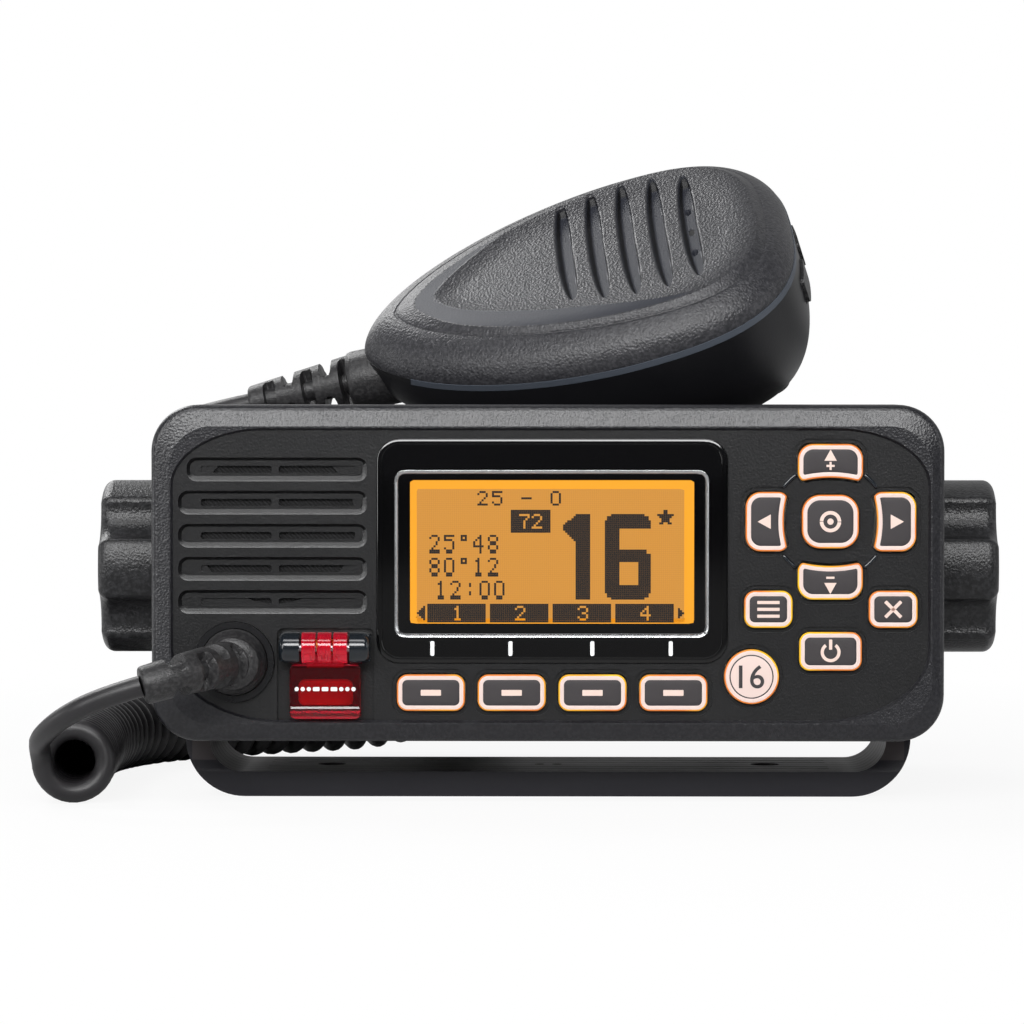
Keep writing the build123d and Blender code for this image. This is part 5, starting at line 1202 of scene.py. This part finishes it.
# ------------------------------------------------------------------ grille
def bay_lips():
    """Sloped lips on the lower and right edges of the grille's five bays, from the field to the channel.

    Each lip follows the bay's outline and is 1 mm wide at its lower right corner; it thins out to nothing
    towards the bay's upper right and lower left corners.
    """
    window_u, _, window_width, *_ = cad_place("display_window")
    window_left = window_u - window_width / 2
    for i, inset in enumerate(BAY_LEFT_INSETS):
        half_u, half_v = (BAY_SIZE[0] - inset) / 2, BAY_SIZE[1] / 2
        centre = (window_left - BAY_PLACE[0] + inset / 2, BAY_PLACE[1] + BAY_PITCH * (2 - i))
        line = outline(lambda a, b: box_distance(a, b, half_u, half_v, BAY_CORNER), 0.0, 720)
        angle = np.degrees(np.arctan2(line[:, 1] / half_v, line[:, 0] / half_u))
        kept = (angle > -178.0) & (angle < 42.0)
        line, angle = line[kept], angle[kept]
        order = np.argsort(angle)
        line, angle = line[order], angle[order]
        share = rise(angle, -178.0, -132.0) * (1 - rise(angle, 20.0, 42.0))
        inward = -np.gradient(line, axis=0)[:, ::-1] * (1, -1)
        inward /= np.linalg.norm(inward, axis=1, keepdims=True)
        rings = []
        for reach, depth in ((0.0, 0.02), (0.14, 0.05), (1.0, 0.50), (1.08, 1.18), (-0.1, 1.18), (-0.1, 0.1)):
            at = line + inward * (reach * share)[:, None]
            rings.append(on_panel(at, FIELD_Y + depth, centre))
        rings = np.swapaxes(np.array(rings), 0, 1)
        made = stack(f"bay_lip_{i + 1}", rings, "radio", ["panel_plastic"], sharp=40)


class MARINE_OT_grille(bpy.types.Operator):
    """Makes the sloped lips of the speaker grille's bays"""
    bl_idname = "marine.grille"
    bl_label = "Grille"

    def execute(self, context):
        bay_lips()
        return {"FINISHED"}


# ------------------------------------------------------------------ distress key
class MARINE_OT_distress(bpy.types.Operator):
    """Makes the distress cover with its barrel, the code printed on it, and the torsion spring"""
    bl_idname = "marine.distress"
    bl_label = "Distress cover"

    def execute(self, context):
        low, high = box_mm("distress_spring")
        y, z = (low[1] + high[1]) / 2, (low[2] + high[2]) / 2
        phase = np.linspace(0, 2 * pi * SPRING_TURNS, 240)
        x = np.linspace(low[0] + SPRING_WIRE, high[0] - SPRING_WIRE, 240)
        path = np.stack([x, y + SPRING_MEAN_RADIUS * np.cos(phase),
                         z + SPRING_MEAN_RADIUS * np.sin(phase)], -1)
        rings = swept(path, SPRING_WIRE, 10, (1, 0, 0))
        made = stack("distress_coil", rings, "radio", ["spring_gold"], sharp=60)
        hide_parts("distress_spring")

        low, high = box_mm("distress_cover")
        middle = (low[0] + high[0]) / 2
        self.cover(low, high)
        loops = [disc_loop(middle + place, CODE_V, 0.42, 20) for place in CODE_DOTS]
        loops += [bar_loop(middle + place, CODE_V, 1.3, 0.8, 0.2) for place in CODE_DASHES]
        code = flat_shape("distress_code", loops, FLAP_FRONT, 0.04, "distress_cover", "print_white")
        return {"FINISHED"}

    def cover(self, low, high):
        """The flap and its split barrel round the pin.

        Each row of the flap is a plate with rounded side edges. Below the bevel's line its front first stands
        out by a ridge and then goes back in a slope to the lower edge.
        """
        middle, bottom, top = (low[0] + high[0]) / 2, low[2] - PIVOT_Z, FLAP_TOP
        corner, half = 1.1, (high[0] - low[0]) / 2
        share = 0.5 - 0.5 * np.cos(pi * np.linspace(0, 1, 25))
        rows = np.concatenate([bottom + 1.2 * share[:-1], np.linspace(bottom + 1.2, top - 1.2, 30),
                               top - 1.2 + 1.2 * share[1:]])
        rings = []
        for row in rows:
            end = np.clip(corner - min(row - bottom, top - row), 0, corner)
            wide = half - corner + np.sqrt(max(corner ** 2 - end ** 2, 1e-4))
            turn = np.linspace(0, pi / 2, 7)
            side = np.stack([wide - 0.35 + 0.35 * np.sin(turn), 0.35 - 0.35 * np.cos(turn)], -1)
            under = max(FLAP_BEVEL - row, 0.0)
            front = FLAP_FRONT - 0.27 * min(under, 0.7) + 0.62 * max(under - 0.7, 0.0)
            flank = np.concatenate([side + (0, front), [(wide, max(front + 0.36, FLAP_BACK))]])
            loop = np.concatenate([flank * (-1, 1), flank[::-1]])
            rings.append(np.stack([middle + loop[:, 0], np.minimum(loop[:, 1], FLAP_BACK),
                                   np.full(len(loop), PIVOT_Z + row)], -1))
        # the flap's top and bottom rows take the glowing red, a painted highlight on those edges
        edge = [int(row < bottom + 0.5 or row > top - 0.35) for row in rows[:-1]]
        parts = [stack("distress_flap", rings, "distress_cover", ["clear_red", "red_with_painted_glow"], bands=edge,
                       sharp=28)]
        pin_low, pin_high = box_mm("distress_pin")
        _, y, z = (pin_low + pin_high) / 2
        bore = (pin_high[2] - pin_low[2]) / 2 + 0.15
        outer, inner = KNUCKLE_RADIUS, KNUCKLE_RADIUS - KNUCKLE_ROUND
        turn = np.linspace(0, 2 * pi, 72, endpoint=False)
        for i, (start, stop) in enumerate(KNUCKLES):
            profile = np.array([(bore, start), (inner, start), (outer, start + 0.12), (outer, stop - 0.12),
                                (inner, stop), (bore, stop)])
            rings = np.stack([np.repeat(middle + profile[:, 1:], 72, 1), y - profile[:, :1] * np.cos(turn),
                              z + profile[:, :1] * np.sin(turn)], -1)
            name = f"distress_knuckle_{i + 1}"
            parts.append(stack(name, rings, "distress_cover", ["red_with_painted_glow"], loop=True))
        ends = on_panel(np.array([(-3.6, 1.9), (-3.6, -0.6), (3.6, -0.6), (3.6, 1.9)]), 0.0, (middle, top))
        rings = [ends + np.array([0, depth, 0]) for depth in (FLAP_FRONT + 0.5, FLAP_BACK - 0.1)]
        parts.append(stack("distress_neck", rings, "distress_cover", ["red_with_painted_glow"]))
        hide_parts("distress_cover")


# ------------------------------------------------------------------ finishes of the CAD nodes
CAD_FINISHES = {
    "panel_plastic": ("front_panel",),
    "case_plastic": ("housing",),
    "knob_plastic": ("knob_left", "knob_right"),
    "bracket_plastic": ("bracket",),
    "cast_aluminium": ("heat_sink",),
    "socket_plastic": ("mic_socket", "power_module"),
    "lug_gloss": ("distress_lugs",),
    "distress_rubber": ("distress_key",),
    "seal_rubber": ("mic_seal_strip",),
    "boot_rubber": ("ptt_button", "mic_key_up", "mic_key_down", "lead_grommets", "panel_gasket",
                    "bracket_pads"),
    "microphone_back": ("mic_back_shell",),
    "steel": ("distress_pin", "hanger_button", "case_screws", "mic_screws", "washer_left", "washer_right",
              "rf_shield"),
    "nickel": ("antenna_connector",),
    "insulator": ("antenna_insulator",),
    "brass": ("pivot_inserts",),
    "circuit_board": ("front_board", "main_board", "mic_board"),
    "silicone": ("keypad_mat", "lcd_backlight"),
    "grille_cloth": ("speaker_cloth",),
    "black_paper": ("speaker_cone", "speaker_frame", "mic_element"),
}


class MARINE_OT_finishes(bpy.types.Operator):
    """Gives every CAD node its finish"""
    bl_idname = "marine.finishes"
    bl_label = "Finishes"

    def execute(self, context):
        for name, nodes in CAD_FINISHES.items():
            for node in nodes:
                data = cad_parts[node].data
                data.materials.clear()
                data.materials.append(finish(name))
        return {"FINISHED"}


# ------------------------------------------------------------------ stage
class MARINE_OT_stage(bpy.types.Operator):
    """Makes the pale floor, the soft lights and the camera"""
    bl_idname = "marine.stage"
    bl_label = "Stage"

    def execute(self, context):
        scene = context.scene
        scene.view_settings.view_transform = "Standard"
        mesh = bpy.data.meshes.new("floor")
        mesh.from_pydata([(-6, -3, 0), (6, -3, 0), (6, 9, 0), (-6, 9, 0)], [], [(0, 1, 2, 3)])
        floor = bpy.data.objects.new("floor", mesh)
        scene.collection.objects.link(floor)
        f = Finish("floor_white")
        x, y, _ = f.axes()
        far = ((x * x + y * y) ** 0.5 * 4.0 - 0.45).clamped()
        front = (0.25 - y * 3.0).clamped()
        tone = f.mix(f.noise(0.4) * 0.1, (0.80, 0.80, 0.80), (0.78, 0.78, 0.78))
        tone = f.mix(f.ray("Glossy") * front * 0.9, tone, (0.02, 0.02, 0.02))
        plain_floor = f.node("ShaderNodeBsdfDiffuse", {}, {"Color": tone})
        lit = f.node("ShaderNodeEmission", {}, {"Color": (1, 1, 1, 1), "Strength": 1.0})
        shown = f.node("ShaderNodeMixShader", {}, {
            0: f.ray("Camera") * (far * 0.10 + 0.90), 1: plain_floor, 2: lit})
        f.node("ShaderNodeOutputMaterial", {}, {"Surface": shown})
        mesh.materials.append(f.owner)

        # the pale backdrop stands behind the object only; the studio in front of it is dim
        w = Finish("studio", world=True)
        behind = (w.axes()[1] * 3.0).clamped() * 0.45
        mirrored = (w.ray("Glossy") + w.ray("Transmission")).clamped()
        sky = w.node("ShaderNodeBackground", {}, {"Color": (0.93, 0.95, 1.0, 1), "Strength": 0.085})
        white = w.node("ShaderNodeBackground", {}, {"Color": (1, 1, 1, 1), "Strength": 1.0})
        shown = w.node("ShaderNodeMixShader", {}, {
            0: w.ray("Camera").at_least(mirrored * behind), 1: sky, 2: white})
        w.node("ShaderNodeOutputWorld", {}, {"Surface": shown})
        scene.world = w.owner

        for values in LAMPS:
            lamp(*values)

        camera = bpy.data.cameras.new("camera")
        camera.sensor_width, camera.lens = SENSOR_WIDTH, FOCAL_LENGTH / PICTURE_SIDE * SENSOR_WIDTH
        camera.clip_start, camera.clip_end = 0.05, 40.0
        holder = bpy.data.objects.new("camera", camera)
        holder.location = CAMERA_PLACE
        half = PICTURE_SIDE / 2
        way = Vector(((half - LEVEL_PIXEL[0]) / FOCAL_LENGTH, 1.0, (LEVEL_PIXEL[1] - half) / FOCAL_LENGTH))
        holder.rotation_euler = (pi / 2 + atan2(way.z, hypot(way.x, way.y)), 0.0, -atan2(way.x, way.y))
        scene.collection.objects.link(holder)
        scene.camera = holder
        return {"FINISHED"}


def lamp(name, place, target, size, power):
    """Soft rectangular lamp that faces a point."""
    light = bpy.data.lights.new(name, "AREA")
    light.shape, light.size, light.size_y, light.energy = "RECTANGLE", size[0], size[1], power
    holder = bpy.data.objects.new(name, light)
    holder.location = place
    holder.rotation_euler = (Vector(target) - Vector(place)).to_track_quat("-Z", "Y").to_euler()
    bpy.context.scene.collection.objects.link(holder)


# ------------------------------------------------------------------ add-on
OPERATORS = (MARINE_OT_stage, MARINE_OT_cord, MARINE_OT_finishes, MARINE_OT_display, MARINE_OT_keys,
             MARINE_OT_strain_reliefs, MARINE_OT_microphone, MARINE_OT_grille, MARINE_OT_distress)


class MARINE_PT_panel(bpy.types.Panel):
    """Lists the radio's pieces"""
    bl_label = "Marine Radio"
    bl_idname = "MARINE_PT_panel"
    bl_space_type = "VIEW_3D"
    bl_region_type = "UI"
    bl_category = "Marine Radio"

    def draw(self, context):
        settings = context.scene.marine_radio
        for operator in OPERATORS:
            self.layout.operator(operator.bl_idname)
        for group in (settings.sizes, settings.colours):
            box = self.layout.box()
            for name in group.__annotations__:
                box.prop(group, name)


CLASSES = (MarineRadioSizes, MarineRadioColours, MarineRadioSettings) + OPERATORS + (MARINE_PT_panel,)


def register():
    for each in CLASSES:
        bpy.utils.register_class(each)
    bpy.types.Scene.marine_radio = PointerProperty(type=MarineRadioSettings)


def unregister():
    del bpy.types.Scene.marine_radio
    for each in reversed(CLASSES):
        bpy.utils.unregister_class(each)


def main():
    register()
    for operator in OPERATORS:
        family, name = operator.bl_idname.split(".")
        result = getattr(getattr(bpy.ops, family), name)()
        if result != {"FINISHED"}:
            raise RuntimeError(f"{operator.bl_idname} did not finish")


if __name__ == "__main__":
    main()
